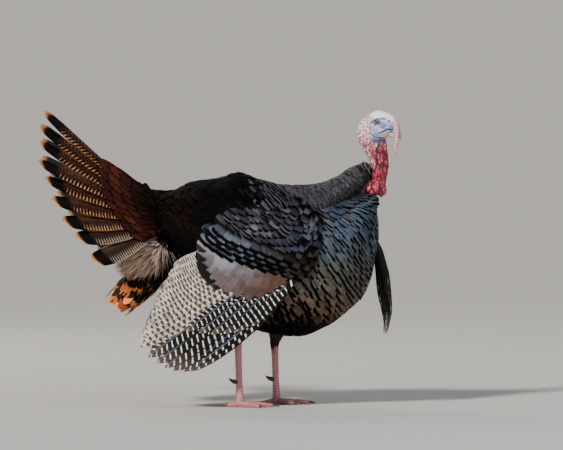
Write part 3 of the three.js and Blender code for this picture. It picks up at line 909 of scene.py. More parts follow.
# The union keeps the shapes but not the colours, so each point takes its nearest head point's.
SAME_POINT = 0.3  # how far apart the union may leave a head point and its own copy
skin_points = points_of(one_skin)
skin_tint = np.tile(DARK_SKIN, (len(skin_points), 1))
fine = np.flatnonzero((skin_points[:, 0] > 300) & (skin_points[:, 2] > 500))
match, distance = nearest_of(head_points, skin_points[fine])
near = distance < SAME_POINT
skin_tint[fine] = np.where(near[:, None], head_tint[match], DARK_SKIN)
set_colours(one_skin.color_attributes.new("tint", "FLOAT_COLOR", "POINT"), skin_tint)
print("one skin of", len(one_skin.polygons), "faces")


def skin_colour(tree):
    """The skin's tint with deeper mottling of itself."""
    sockets = {"Value": 0.72, "Saturation": 1.1, "Color": tint(tree)}
    deeper = node(tree, "ShaderNodeHueSaturation", sockets).outputs[0]
    return mix(tree, between(tree, cloud(tree, 3.0), 0.35, 0.75), tint(tree), deeper)


bare_skin = new_material(
    "bare skin",
    skin_colour,
    0.42,
    height=lambda tree: cloud(tree, 1.2, 4.0),
    bump=0.35,
    Coat_Weight=0.12,
    Coat_Roughness=0.3,
)
flesh_nodes = ["trunk", "back_saddle", "neck_feathered", "neck_bare", "head", "snood"]
flesh_nodes += ["wattle_front", *both("wattle"), *both("thigh")]
hand_over(skin, bare_skin, "bare_skin", *flesh_nodes)

# %% [markdown]
# ## Bill
# The upper bill hooks down over the lower one. Both are smooth horn, so a fine tube is enough. The
# nostril is a dent with a dark slit.

# %% Two halves of the bill
for half, rows in (("upper", BILL_UPPER), ("lower", BILL_LOWER)):
    t = np.linspace(0, 1, 49)
    rings = tube(rows, sides=40, steps=48)
    middle = rings.mean(1, keepdims=True)
    above, beside = (rings - middle)[..., [2, 1]].transpose(2, 0, 1)
    slit = hump(t, 0.36, 0.09)[:, None] * hump(np.abs(np.arctan2(above, beside)) % np.pi, 1.0, 0.22)
    slit = slit * (half == "upper") * (above > 0)
    rings = middle + (rings - middle) * (1 - 0.22 * slit[..., None])
    horn = blend(paint("#b4b6bd"), paint("#dcd2ba"), step(t, 0.25, 0.75))[:, None] + 0 * rings
    horn = blend(horn, paint("#2c2a2c"), 0.9 * slit)
    points, faces = shell(on_head(rings))
    piece = make_mesh(f"{half}_bill_horn", points, faces, colours={"tint": horn.reshape(-1, 3)})
    horn_finish = new_material(
        f"{half} bill horn",
        mottled(4.0, 2.0, 0.35, paint("#8a7c62")),
        0.3,
        height=lambda tree: cloud(tree, 2.0),
        bump=0.15,
    )
    hand_over(piece, horn_finish, "bill", f"bill_{half}")

# %% [markdown]
# ## Eyes
# A turkey's eye is dark brown with a black pupil and a thin pale ring. It is a ball in its socket,
# and the rings are painted by the angle from its axis.

# %% Eyeballs
turns = np.linspace(0.02, np.pi - 0.02, 40)
round_it = np.linspace(0, 2 * np.pi, 48, endpoint=False)
ball = np.stack(
    [
        np.sin(turns)[:, None] * np.cos(round_it),
        np.cos(turns)[:, None] + 0 * round_it,
        np.sin(turns)[:, None] * np.sin(round_it),
    ],
    -1,
)
angle = np.repeat(turns, 48)
eye_tint = layered(
    paint("#050404"),
    (paint("#7c3f16"), step(angle, 0.36, 0.42)),
    (paint("#b9743a"), hump(angle, 0.5, 0.07)),
    (paint("#1c0d06"), step(angle, 0.8, 0.92)),
)
eye_colour = mottled(0.8, 2.0, 0.3, paint("#120804"))
eye_finish = new_material("eye", eye_colour, 0.06, Coat_Weight=1.0, Coat_Roughness=0.02)
for side, label in SIDES:
    centre = np.array([EYE["x"], side * EYE["y"], EYE["z"]])
    look = ball * [1, side, 1] * EYE["radius"] + centre
    points, faces = shell(on_head(look))
    if side < 0:
        faces = [f[:, ::-1] for f in faces]
    piece = make_mesh(f"eyeball_{label}", points, faces, colours={"tint": eye_tint})
    hand_over(piece, eye_finish, "eye", f"eye_{label}")

# %% [markdown]
# ## Feathers
# One contour feather is a shallow closed vane: an arched top over a flat underside, narrow at its
# root, widest past the middle and rounded at its tip. It starts into the skin, stands up a few
# degrees and bends back along the body. Thousands are worked out together as one array with an
# axis for the feather, one for the place along it and one for the place across it.

# %% The vane
ALONG = np.array([0, 0.25, 0.5, 0.72, 0.9, 0.975, 1.0])
ACROSS = np.array([-1, -0.5, 0, 0.5, 1])


def vane_faces(count, rows, columns):
    """Faces of closed vanes: the arched top, a flat underside from edge to edge, and two ends."""
    m, k = np.meshgrid(np.arange(rows - 1), np.arange(columns - 1), indexing="ij")
    a = (m * columns + k).ravel()
    top = np.stack([a, a + columns, a + columns + 1, a + 1], -1)
    e = np.arange(rows - 1) * columns
    under = np.stack([e, e + columns - 1, e + 2 * columns - 1, e + columns], -1)
    root = np.arange(columns)[None]
    tip = (np.arange(columns)[::-1] + (rows - 1) * columns)[None]
    start = (np.arange(count) * rows * columns)[:, None, None]
    quads = np.concatenate([top, under])[None] + start
    ends = np.concatenate([root, tip])[None] + start
    return [quads.reshape(-1, 4), ends.reshape(-1, columns)]


def outline(v, root=0.3, widest=0.62, blunt=0.5, end=0.12):
    """Half the width of a vane along its length: it swells from the root as a quarter sine, and its
    tip closes as part of an ellipse, down to the share that its cut end is wide."""
    swell = root + (1 - root) * np.sin(0.5 * np.pi * np.clip(v / widest, 0, 1))
    close = np.clip((v - widest) / (1.0001 - widest), 0, 1)
    return swell * np.maximum(np.sqrt(1 - close ** (1 / blunt)), end)


def lay_vanes(
    root, along, up, length, width, lift, droop, arch=0.1, v=ALONG, u=ACROSS, **shape
):
    """Grid of points of many vanes. Each climbs at its lift and turns down by its droop on the way
    (degrees); the middle stands above the edges by arch times the width."""
    count = len(root)
    length, width, lift, droop, arch = (
        np.broadcast_to(np.asarray(x, float), count) for x in (length, width, lift, droop, arch)
    )
    side = np.cross(up, along)
    middle = (v[1:] + v[:-1]) / 2
    angle = np.radians(lift[:, None] - droop[:, None] * middle)
    legs = np.diff(v) * length[:, None]
    nothing = np.zeros((count, 1))
    forward = np.concatenate([nothing, np.cumsum(legs * np.cos(angle), 1)], 1)
    rise = np.concatenate([nothing, np.cumsum(legs * np.sin(angle), 1)], 1)
    half = outline(v, **shape)[None] * width[:, None] / 2
    height = rise[..., None] + arch[:, None, None] * 2 * half[..., None] * (1 - u**2)
    grid = root[:, None, None] + forward[..., None, None] * along[:, None, None]
    grid = grid + height[..., None] * up[:, None, None]
    return grid + (half[..., None] * u)[..., None] * side[:, None, None]


def plumage(name, grid, tints, centres, patch=0.004, values=None, v=None):
    """The piece for a grid of vanes: Feather holds the place on each one, and OFBake is a small
    patch round the centre given for it on a flat map."""
    count, rows, columns = grid.shape[:3]
    v = np.linspace(0, 1, rows) if v is None else v
    u = np.linspace(-1, 1, columns)
    vv, uu = np.broadcast_to(v[:, None], (rows, columns)), np.broadcast_to(u, (rows, columns))
    local = np.stack([uu * 0.5 + 0.5, vv], -1)
    patch = np.broadcast_to(np.asarray(patch, float), (count, 2))
    spread = (local - 0.5)[None] * patch[:, None, None]
    uv = {
        "Feather": np.broadcast_to(local, (count, rows, columns, 2)).reshape(-1, 2),
        "OFBake": (centres[:, None, None] + spread).reshape(-1, 2),
    }
    each = lambda x: np.repeat(x, rows * columns, axis=0)
    return make_mesh(
        name,
        grid.reshape(-1, 3),
        vane_faces(count, rows, columns),
        uv,
        {"tint": each(tints)},
        {key: each(x) for key, x in {"chance": rng.random(count), **(values or {})}.items()},
    )


coat_places, coat_tints = [], []


def remember(places, tints):
    """Notes where feathers of a colour grow, so that the skin under them can be given it too."""
    coat_places.append(places)
    coat_tints.append(tints)


def two_sides(grid):
    """The vanes of the right side and the same ones on the left. Turning the columns round keeps
    the faces outwards."""
    return np.concatenate([grid, grid[:, :, ::-1] * [1, -1, 1]])


def only(keep, *arrays):
    """The kept rows of several arrays."""
    return [array[keep] for array in arrays]


print("a vane has", sum(len(f) for f in vane_faces(1, 7, 5)), "faces")

# %% Finishes for contour feathers


def contour_colour(edge, dark, band=0.87, soft=0.03, bow=0.06):
    """Colour for a contour feather: dark downy root, tinted middle, and a dark band at the tip that
    follows the tip's curve. The band starts nearer the root where a feather's own band is wider."""

    def colour(tree):
        place = use(tree, spot)
        curve = calc(tree, "POWER", calc(tree, "ABSOLUTE", place["across"]), 2.0)
        bowed = calc(tree, "MULTIPLY_ADD", curve, bow, place["along"])
        start = calc(tree, "MULTIPLY_ADD", value(tree, "chance"), 0.03, band - 0.015)
        start = calc(tree, "SUBTRACT", start, value(tree, "band"))
        tip = between(tree, calc(tree, "SUBTRACT", bowed, start), 0.0, soft)
        body = mix(tree, between(tree, place["along"], 0.3, 0.62), dark, tint(tree))
        clouded = between(tree, cloud(tree, 14.0), 0.4, 0.75)
        body = mix(tree, calc(tree, "MULTIPLY", clouded, 0.45), body, dark)
        body = mix(tree, calc(tree, "MULTIPLY", place["barbs"], 0.16), body, dark)
        return mix(tree, tip, body, edge(tree) if callable(edge) else edge)

    return colour


def barb_height(tree):
    """Fine ridges of the barbs, and the shaft standing a little higher."""
    place = use(tree, spot)
    beside = between(tree, calc(tree, "ABSOLUTE", place["across"]), 0.0, 0.12)
    return calc(tree, "MULTIPLY_ADD", place["barbs"], 0.4, calc(tree, "SUBTRACT", 1.0, beside))


def sheen(high, band=0.87):
    """Metalness of a feather: its own shine in the middle, and none on its dark tip."""

    def metal(tree):
        place = use(tree, spot)
        start = calc(tree, "SUBTRACT", band - 0.01, value(tree, "band"))
        tip = between(tree, calc(tree, "SUBTRACT", place["along"], start), 0.0, 0.05)
        shine = calc(tree, "MULTIPLY", value(tree, "shine"), high)
        return calc(tree, "MULTIPLY", calc(tree, "SUBTRACT", 1.0, tip), shine)

    return metal


def gloss(dull, bright):
    """Roughness from dull to bright by a feather's own shine."""
    return lambda tree: calc(tree, "MULTIPLY_ADD", value(tree, "shine"), bright - dull, dull)


def feather_finish(name, colour, roughness, specular, metallic=0.0, bump=0.2):
    """A finish with barbs in relief. A low specular level keeps its blacks black."""
    return new_material(
        name, colour, roughness, metallic, barb_height, bump, Specular_IOR_Level=specular
    )


metallic_colour = contour_colour(paint("#030304"), paint("#090807"))
metallic_plumage = feather_finish(
    "metallic contour feathers", metallic_colour, gloss(0.7, 0.38), 0.03, sheen(0.75)
)
print("finishes", [m.name for m in bpy.data.materials])

# %% [markdown]
# ## Body plumage
# Contour feathers spread from the throat over breast, sides and back. Their tips lie in close rows,
# and a black band on every tip turns the rows into long dark lines. So the rows are made first, as
# lines of equal distance from the throat on the surface. Then each row is divided evenly.

# %% Rows of equal distance
HEART = np.array([60.0, 0, 370])
THROAT = np.array([356.0, 0, 541])
POLE = unit(THROAT - HEART)

trunk_points, trunk_faces = join_shells(
    [
        shell(upright(TRUNK, sides=72, steps=72, inset=COAT["trunk"])),
        shell(upright(SADDLE, sides=72, steps=48, inset=COAT["saddle"])),
    ]
)
trunk_tree = BVHTree.FromPolygons(
    trunk_points.tolist(), [f.tolist() for part in trunk_faces for f in part]
)
east = np.array([0.0, 1, 0])
north = np.cross(POLE, east)


def row_level(points):
    """What is equal along a row: the distance from the throat, plus a share of how far back a
    point lies, which slants the rows of the breast, less a share of the height above the wing,
    which turns the feathers of the mantle outwards and down."""
    away = np.linalg.norm(points - THROAT, axis=-1)
    behind = 0.65 * (THROAT[0] - points[..., 0]) * step(away, 20, 150)
    high = 25 * np.log1p(np.exp((points[..., 2] - 470) / 25))
    return away + behind - 1.1 * high * step(-points[..., 0], -330, -230)


def gap_at(x, z):
    """How far apart the rows are: fine on breast and mantle, wide on the belly and the rump."""
    fine = 8.8 + 7.5 * step(-z, -430, -250) * step(-x, -340, -240)
    return fine + 6 * step(-x, -60, 80)


def normals_at(points):
    """The trunk's normal at the place nearest to each point."""
    return np.array([trunk_tree.find_nearest(Vector(p))[1] for p in points.tolist()], float)


ROW_SHARE = 0.9  # rows lie this much closer than the gap that they are given
NARROWEST_FEATHER, WIDEST_FEATHER = 8, 30.0  # the room for one in a row, at the throat and far off
angles = np.linspace(0.03, np.pi - 0.1, 260)
turns = np.linspace(0, 2 * np.pi, 145)
meridian = np.cos(turns)[:, None] * north + np.sin(turns)[:, None] * east
rays = np.cos(angles)[:, None, None] * POLE + np.sin(angles)[:, None, None] * meridian
surface = np.array(
    [
        trunk_tree.ray_cast(Vector(HEART + 900 * d), Vector(-d))[0]
        for d in rays.reshape(-1, 3)
    ],
    float,
).reshape(rays.shape)
level = np.maximum.accumulate(row_level(surface), axis=0) + 1e-4 * np.arange(len(angles))[:, None]
right_side = np.argmin(np.abs(turns - 1.5 * np.pi))
run = np.linalg.norm(np.diff(surface[:, right_side], axis=0), axis=1)
steepness = np.clip(np.gradient(level[:, right_side], np.r_[0, np.cumsum(run)]), 0.8, 1.8)

roots, directions, widths, latitudes, longitudes = [], [], [], [], []
now, row = 5.0, 0
while now < level[-1].max() - 4:
    place = [np.interp(now, level[:, j], angles) for j in range(len(turns))]
    line = np.array(
        [[np.interp(a, angles, surface[:, j, k]) for k in range(3)] for j, a in enumerate(place)]
    )
    real = np.array([level[0, j] < now < level[-1, j] for j in range(len(turns))])
    run = np.r_[0, np.cumsum(np.linalg.norm(np.diff(line, axis=0), axis=1))]
    middle = line[right_side]
    wide = min(WIDEST_FEATHER, NARROWEST_FEATHER + 0.35 * now)
    count = max(int(run[-1] / wide), 5)
    shift = rng.random()
    at = (np.arange(count) + shift) / count * run[-1]
    point = np.stack([np.interp(at, run, line[:, k]) for k in range(3)], -1)
    ahead = np.stack([np.interp((at + 4) % run[-1], run, line[:, k]) for k in range(3)], -1)
    here = np.interp(at, run, real.astype(float)) > 0.5
    roots.append(point[here])
    directions.append((ahead - point)[here])
    widths.append(np.full(here.sum(), run[-1] / count))
    latitudes.append(np.interp(at, run, place)[here])
    longitudes.append(np.interp(at, run, turns)[here])
    steep = np.interp(now, level[:, right_side], steepness)
    now, row = now + float(gap_at(middle[0], middle[2])) * ROW_SHARE * steep, row + 1

root, across = np.concatenate(roots), unit(np.concatenate(directions))
side_gap = np.concatenate(widths)
latitude, longitude = np.concatenate(latitudes), np.concatenate(longitudes)
up = normals_at(root)
along = flat_to(np.cross(up, across), up)
down_slope = row_level(root + along * 3) - row_level(root)
along = along * np.sign(down_slope)[:, None]
steep = np.interp(row_level(root), level[:, right_side], steepness)
row_gap = gap_at(root[:, 0], root[:, 2]) * ROW_SHARE * 3 * steep
row_gap = row_gap / np.clip(np.abs(down_slope), 1.6, 5.4)

# Feathers that would lie under the wings are left out, since nothing of them shows.
UNDER_WING = [
    [150, 460], [115, 500], [75, 490], [20, 450], [-20, 400], [-10, 330], [40, 300], [110, 345],
]
keep = ~(inside(UNDER_WING, root[:, 0], root[:, 2]) & (np.abs(root[:, 1]) > 95))
_, middle, wide, deep = columns_at(HOOD, root[:, 0])
off_hood = (root[:, 1] / (wide - 14)) ** 2 + ((root[:, 2] - middle) / (deep - 4)) ** 2 > 1
keep &= off_hood | (root[:, 0] > 352) | (root[:, 0] < 225)
keep &= (root[:, 0] < 384) | (np.abs(root[:, 1]) > 15) | (root[:, 2] > 446)  # where the beard grows
root, up, along, row_gap, side_gap, latitude, longitude = only(
    keep, root, up, along, row_gap, side_gap, latitude, longitude
)
print(row, "rows,", len(root), "body feathers")

# %% Size, lie and colour of each body feather
count = len(root)
x, y, z = root.T
chance = rng.random((count, 4))
on_back = step(z, 478, 525) * step(-x, -120, -85) * step(x, -130, -60)
on_mantle = step(z, 455, 510) * step(x, 60, 120) * step(-x, -300, -250)
on_rump = step(-x, 10, 80)
on_belly = step(-z, -262, -215)
at_front = step(up[:, 0], 0.75, 0.95)

along = flat_to(along + rng.normal(0, 0.03, along.shape), up)
length = np.clip(3.2 * row_gap, 30, 84) * rng.uniform(0.94, 1.06, count)
width = np.clip(1.25 * side_gap, 14, 42) * rng.uniform(0.96, 1.04, count)
ruffled = np.maximum(on_back, 0.5 * on_rump)


def turn_of(points, way, reach):
    """How many degrees the trunk turns away from each point over a reach in a direction."""
    normal = normals_at(points + way * np.reshape(reach, (-1, 1)))
    return np.degrees(np.arcsin(np.clip((normal * way).sum(1), -0.2, 0.9)))


# Where the breast turns sharply, each vane bends with it along its length and round its width.
follow = np.clip(1.3 * turn_of(root, along, 0.7 * length) - 16, 0, 75)
round_side = np.cross(up, along)
hug = turn_of(root, round_side, width / 2) + turn_of(root, -round_side, width / 2)
arch = 0.015 + np.clip(np.radians(hug) / 8, 0, 0.2)
lift = 9 - 1.5 * at_front + 6 * ruffled + rng.normal(0, 1, count) * (1 + 3.5 * ruffled)
square = {"blunt": 0.1, "end": 0.84}
grid = lay_vanes(root - up * 2.5, along, up, length, width, lift, lift + 7 + follow, arch, **square)

steel, blue, teal = paint("#545e6d"), paint("#4c637f"), paint("#586965")
olive, bronze, copper = paint("#66675d"), paint("#705c4c"), paint("#72523f")
mauve, umber, jet = paint("#4d4b59"), paint("#0b0908"), paint("#030407")
chestnut = paint("#1c0d0a")
front = step(x, 215, 300) * step(z, 345, 440)
on_flank = step(-x, -85, -35)
ragged_edge = step(-x + 60 * (chance[:, 3] - 0.5), -135, -85)
black_back = step(z, 478, 525) * step(x, -130, -60) * ragged_edge
body_tint = layered(
    copper,
    (bronze, 0.4 + 0.6 * chance[:, 0]),
    (olive, step(z, 235, 330) * (0.35 + 0.65 * chance[:, 1])),
    (teal, step(z, 300, 380) * (0.2 + 0.8 * chance[:, 2])),
    (blend(steel, blue, chance[:, 3]), front * 0.85),
    (bronze, 0.4 * step(rng.random(count), 0.7, 0.95) * step(z, 250, 300)),
    (mauve * (0.7 + 0.6 * chance[:, :1]), on_mantle * 0.85),
    (jet, np.maximum(black_back, on_flank)),
    (blend(jet, chestnut, 0.35 + 0.65 * chance[:, 0]), on_rump * step(z, 400, 460)),
    (umber, np.maximum(on_belly, step(-x, 0, 60) * step(-z, -440, -380))),
)
body_tint = body_tint * (0.84 + 0.4 * rng.random((count, 1)))
dark = np.maximum.reduce([on_back, on_rump, on_belly, on_flank])
shine = (1 - dark) * (0.55 + 0.45 * chance[:, 2]) * (1 - 0.4 * on_mantle)
band = 0.012 + 0.03 * step(-z, -400, -260) + 0.015 * on_mantle

remember(root, body_tint)

# The flat map of the skin is seen from the neck's pole: distance is latitude, direction longitude.
compass = np.stack([np.cos(longitude), np.sin(longitude)], -1)
centres = 0.5 + 0.49 * (latitude / np.pi)[:, None] * compass
forward = (x > 120) & (z < 545)
for name, part in (("plumage_breast", forward), ("plumage_back", ~forward)):
    extra = {"shine": shine[part], "band": band[part]}
    piece = plumage(name, *only(part, grid, body_tint, centres), 0.004, extra, ALONG)
    hand_over(piece, metallic_plumage, "plumage", "trunk", "back_saddle")

# %% [markdown]
# ## Neck ruff
# The feathered part of the neck is drawn back like a hood. Its feathers are small and scaly, and
# they run from the bare neck down to the shoulders in close rings.

# %% Rings of small feathers on a tube


def ring_roots(rows, row_gap, side_gap, inset, start, end):
    """Roots on rings round a tube, with each ring shifted half a feather. The step from ring to
    ring is even along the tube's line. Gives roots, normals, directions along the line and
    (t, turn)."""
    t = np.linspace(start, end, 400)
    line = row_at(rows, t)
    run = np.r_[0, np.cumsum(np.linalg.norm(np.diff(line[:, :3], axis=0), axis=1))]
    places = np.interp(np.arange(0, run[-1], row_gap), run, t)
    tt, aa = [], []
    for ring, place in enumerate(places):
        _, _, _, wide, deep = row_at(rows, place)
        around = max(int(2 * np.pi * math.sqrt((wide**2 + deep**2) / 2) / side_gap), 6)
        tt.append(np.full(around, place))
        aa.append((np.arange(around) + 0.5 * (ring % 2)) * 2 * np.pi / around)
    tt, aa = np.concatenate(tt), np.concatenate(aa)

    def surface(t, a):
        centre, wide, deep, _, side, high = frame_at(rows, t)
        ring = ((wide - inset) * np.cos(a))[:, None] * side
        return centre + (ring + ((deep - inset) * np.sin(a))[:, None] * high)

    here = surface(tt, aa)
    ahead = unit(surface(tt + 0.01, aa) - surface(tt - 0.01, aa))
    round_it = unit(surface(tt, aa + 0.01) - surface(tt, aa - 0.01))
    normal = unit(np.cross(round_it, ahead))
    middle = row_at(rows, tt)[:, :3]
    normal = np.where(((here - middle) * normal).sum(1, keepdims=True) < 0, -normal, normal)
    return here, normal, ahead, np.stack([tt, aa], -1)


def in_trunk(points, margin):
    """True where a point lies deeper in the trunk than the margin, with the trunk taken as ellipses
    that stand on its line."""
    top, bottom, wide = columns_at(TRUNK, points[:, 0])
    deep, middle = (top - bottom) / 2 - margin, (top + bottom) / 2
    inside_it = (points[:, 1] / (wide - margin)) ** 2 + ((points[:, 2] - middle) / deep) ** 2 < 1
    return inside_it & (points[:, 0] > TRUNK[0][0]) & (points[:, 0] < TRUNK[-1][0])


bare_neck = BVHTree.FromPolygons(head_points.tolist(), head_quads.tolist())


def off_bare_neck(points, gap):
    """True where a point stands off the bare neck's skin by more than a gap."""
    found = [bare_neck.find_nearest(point)[:2] for point in points.tolist()]
    place, normal = (np.array([list(f[k]) for f in found]) for k in (0, 1))
    return ((points - place) * normal).sum(1) > gap


long_rings = ring_roots(HOOD, 5.6, 10.5, COAT["hood"], 0, 0.77)
round_end = ring_roots(HOOD, 1.6, 8.5, COAT["hood"], 0.78, 0.985)
root, up, ahead, place = (np.concatenate(pair) for pair in zip(long_rings, round_end))
keep = ~in_trunk(root, 14) & off_bare_neck(root, 1.0)
root, up, ahead, place = only(keep, root, up, ahead, place)
count = len(root)
along = flat_to(-ahead + rng.normal(0, 0.06, ahead.shape), up)
size = (1 - 0.35 * place[:, 0]) * (1 - 0.35 * step(place[:, 0], 0.76, 0.8))
grid = lay_vanes(
    root - up,
    along,
    up,
    26 * size * rng.uniform(0.9, 1.1, count),
    18 * size,
    10 + rng.normal(0, 1.5, count),
    15 + 24 * step(place[:, 0], 0.6, 0.77) + 14 * step(place[:, 0], 0.74, 0.8),
    arch=0.04,
    **square,
)
wander = rng.random((count, 2))
# Feathers near the head that face upwards are painted lighter grey, as light on the top.
painted_top_light = step(place[:, 0], 0.55, 0.92) * step(up[:, 2], 0.0, 0.7) * (0.3 + 0.7 * wander[:, 1])
neck_tint = layered(
    paint("#444451"),
    (paint("#4b4647"), wander[:, 0]),
    # Downward-facing feathers are painted darker, as shade on the hood's lower side.
    (paint("#3d3a36"), step(-up[:, 2], -0.1, 0.7)),
    (paint("#8b8684"), painted_top_light),
)
neck_tint = neck_tint * (0.75 + 0.5 * wander[:, 1:])
centres = np.stack([0.02 + 0.96 * place[:, 1] / (2 * np.pi) % 1, 0.02 + 0.96 * place[:, 0]], -1)
centres = np.clip(centres, 0.01, 0.99)
ruff_colour = contour_colour(paint("#050505"), paint("#0a0909"), soft=0.06)
ruff_finish = feather_finish("neck feathers", ruff_colour, gloss(0.62, 0.42), 0.08, sheen(0.4))
extra = {"shine": 0.3 + 0.4 * wander[:, 0], "band": 0.02 * wander[:, 1]}
remember(root, neck_tint)
piece = plumage("plumage_neck", grid, neck_tint, centres, 0.004, extra, ALONG)
hand_over(piece, ruff_finish, "neck_plumage", "neck_feathered")

# %% [markdown]
# ## Thighs
# Short soft feathers cover the thighs down to the bare shank.

# %% Thigh feathers
grids, tints, maps = [], [], []
for side, _ in SIDES:
    thigh = at_leg(THIGH[side], side)
    rings = ring_roots(thigh, 7.5, 8.0, COAT["thigh"], 0.1, 0.97)
    root, up, ahead, place = only(~in_trunk(rings[0], 10), *rings)
    count = len(root)
    along = flat_to(ahead + rng.normal(0, 0.08, ahead.shape), up)
    size = 1.15 - 0.45 * place[:, 0]
    lift = 8 + rng.normal(0, 2, count)
    grids.append(lay_vanes(root - up, along, up, 27 * size, 15 * size, lift, 12, arch=0.08))
    tints.append(blend(paint("#1f1813"), paint("#43352b"), rng.random(count)))
    remember(root, tints[-1])
    around = 0.27 + 0.25 * side + 0.44 * place[:, 1] / (2 * np.pi)
    maps.append(np.stack([around, place[:, 0]], -1))
soft_colour = contour_colour(paint("#0c0a09"), paint("#0f0c0a"), band=0.92, soft=0.08)
soft_finish = feather_finish("soft dark feathers", soft_colour, 0.72, 0.25)
maps = np.clip(np.concatenate(maps), 0.01, 0.99)
extra = {"band": np.zeros(len(maps))}
piece = plumage(
    "plumage_thighs", np.concatenate(grids), np.concatenate(tints), maps, 0.006, extra, ALONG
)
hand_over(piece, soft_finish, "plumage", *both("thigh"))

# %% [markdown]
# ## Wings
# The drooped wing is a curved sheet beside the body. Its shoulder carries scales of small coverts.
# Below them lies a smooth panel of greater coverts, then the pale spotted secondaries, and at the
# bottom the barred primaries. The big quills are finer vanes laid straight on the sheet.

# %% Shoulder coverts
AIM = math.radians(53)  # how steeply the small coverts point down, so their tips make slanting rows
row_step, side_step = 8.6, 28.0
e_along = np.array([-math.cos(AIM), -math.sin(AIM)])
e_across = np.array([e_along[1], -e_along[0]])
i, j = np.meshgrid(np.arange(-44, 45), np.arange(-20, 21), indexing="ij")
lattice = np.array([110.0, 440]) + (i * row_step)[..., None] * e_along
shift = rng.random(len(i))[:, None]
lattice = (lattice + ((j + shift) * side_step)[..., None] * e_across).reshape(-1, 2)
COVERED = [
    [266, 470], [236, 504], [158, 546], [95, 540], [30, 506], [-14, 474], [-22, 452], [20, 419],
    [95, 388], [170, 364], [196, 358], [226, 366], [252, 410],
]
x, z = lattice[inside(COVERED, *lattice.T)].T
fall = AIM + rng.normal(0, 0.05, len(x))
normal = wing_normal(x, z)
along = flat_to(np.stack([-np.cos(fall), 0 * x, -np.sin(fall)], -1), normal)


def sunk(x):
    """The wing's front edge goes into the breast plumage."""
    return 11 * step(x, 190, 262)


coverts = lay_vanes(
    on_wing(x, z, 3.5 - sunk(x)),
    along,
    normal,
    36 * rng.uniform(0.94, 1.06, len(x)),
    32 * rng.uniform(0.92, 1.08, len(x)),
    9,
    15,
    arch=0.02,
    **square,
)
wander = rng.random((len(x), 4))
slate = step(x, 110, 200) * step(-z, -500, -450)
low = step(-z, -430, -385)
covert_tint = layered(
    paint("#3e424e"),
    (paint("#655c68"), wander[:, 0]),
    (paint("#434e60"), slate * (0.3 + 0.6 * wander[:, 1])),
    (paint("#47463c"), low * (0.3 + 0.7 * wander[:, 2])),
    (paint("#57402f"), low * step(x, 120, 200) * wander[:, 3]),
)
covert_tint = covert_tint * (0.35 + 0.7 * wander[:, 3:]) * (0.5 + 0.45 * step(x, 10, 200))[:, None]
shine, bands = 0.5 + 0.5 * wander[:, 1], np.full(len(x), 0.035)
across_map = lambda x: 0.25 + (x - 110) / 340 * 0.46
centres = np.stack([across_map(x), 0.5 + (z - 440) / 340 * 0.9], -1)

# Median coverts: four rows of larger feathers along the lower edge, which overhang the panel.
MEDIANS = 10  # feathers in a row
parts = [(coverts, covert_tint, shine, bands, centres)]
for tier in range(4):
    f = (np.arange(MEDIANS) + 0.9 * rng.random()) / MEDIANS
    edge = row_at([[212, 352], [150, 366], [80, 392], [22, 414], [-20, 444]], f)
    down = np.radians(62 - 20 * f**2)
    inward = np.stack([np.cos(down), np.sin(down)], -1)
    spots = edge + inward * (tier * 12.5 + 3 + rng.uniform(-1.5, 1.5, (MEDIANS, 1)))
    normal = wing_normal(*spots.T)
    along = flat_to(np.stack([-np.cos(down), 0 * down, -np.sin(down)], -1), normal)
    lift = 3.6 + 0.5 * tier - sunk(spots[:, 0])
    row_grid = lay_vanes(
        on_wing(*spots.T, lift), along, normal, 40 + 6 * f, 34, 8, 14, arch=0.02, **square
    )
    wander = rng.random((MEDIANS, 2))
    row_tint = blend(paint("#362c26"), paint("#565d6b"), step(f, 0.1, 0.65))
    row_tint = row_tint * (0.45 + 0.75 * wander[:, :1])
    flat_map = np.stack([across_map(spots[:, 0]), 0.03 + 0.035 * tier + 0 * f], -1)
    row_shine, row_band = 0.35 + 0.3 * wander[:, 1], 0.07 + 0.04 * wander[:, 1]
    parts.append((row_grid, row_tint, row_shine, row_band, flat_map))
right, tints, shine, bands, maps = (np.concatenate(column) for column in zip(*parts))
extra = {"shine": np.tile(shine, 2), "band": np.tile(bands, 2)}
for side in (1, -1):
    remember(right[:, 0, 2] * [1, side, 1], tints)
piece = plumage(
    "wing_shoulder_plumage",
    two_sides(right),
    np.tile(tints, (2, 1)),
    np.clip(np.concatenate([maps, maps + [0.5, 0]]), 0.01, 0.99),
    0.008,
    extra,
    ALONG,
)
hand_over(piece, metallic_plumage, "plumage", *both("wing_shoulder"))

# %% Quills: fine vanes laid on a sheet


QUILL_CROWDING = 0.85  # below 1, the rows of points crowd towards a quill's tip


def quills(place, count, wide, rows=26, columns=7, tip=0.06, bias=0.0, ridge=0.8):
    """Big vanes on a sheet. place(i, v) gives the shaft of feather i on the flat sheet, and the
    width goes square to it there. Gives the flat grid, the ridge of the shaft, and u and v."""
    i = np.arange(count)[:, None] + np.zeros(rows)
    v = np.linspace(0, 1, rows) ** QUILL_CROWDING
    shaft = place(i, v[None] + 0 * i)
    ahead = unit(place(i, v[None] + 0.01) - place(i, v[None] - 0.01))
    side = np.stack([-ahead[..., 1], ahead[..., 0]], -1)
    u = np.linspace(-1, 1, columns)
    close = np.sqrt(np.clip(1 - ((v - (1 - tip)).clip(0) / tip) ** 2, 0.02, 1))
    half = wide(i, v[None]) * close[None]
    sideways = half[..., None] * (u + bias * (1 - u**2))
    flat = shaft[:, :, None] + sideways[..., None] * side[:, :, None]
    lifted = ridge * np.exp(-((u / 0.22) ** 2))[None, None] + 0 * half[..., None]
    return flat, lifted, u, v


def on_sheet(flat, lift):
    """The flat grid of quills bent onto the right wing's sheet."""
    return on_wing(flat[..., 0], flat[..., 1], lift)


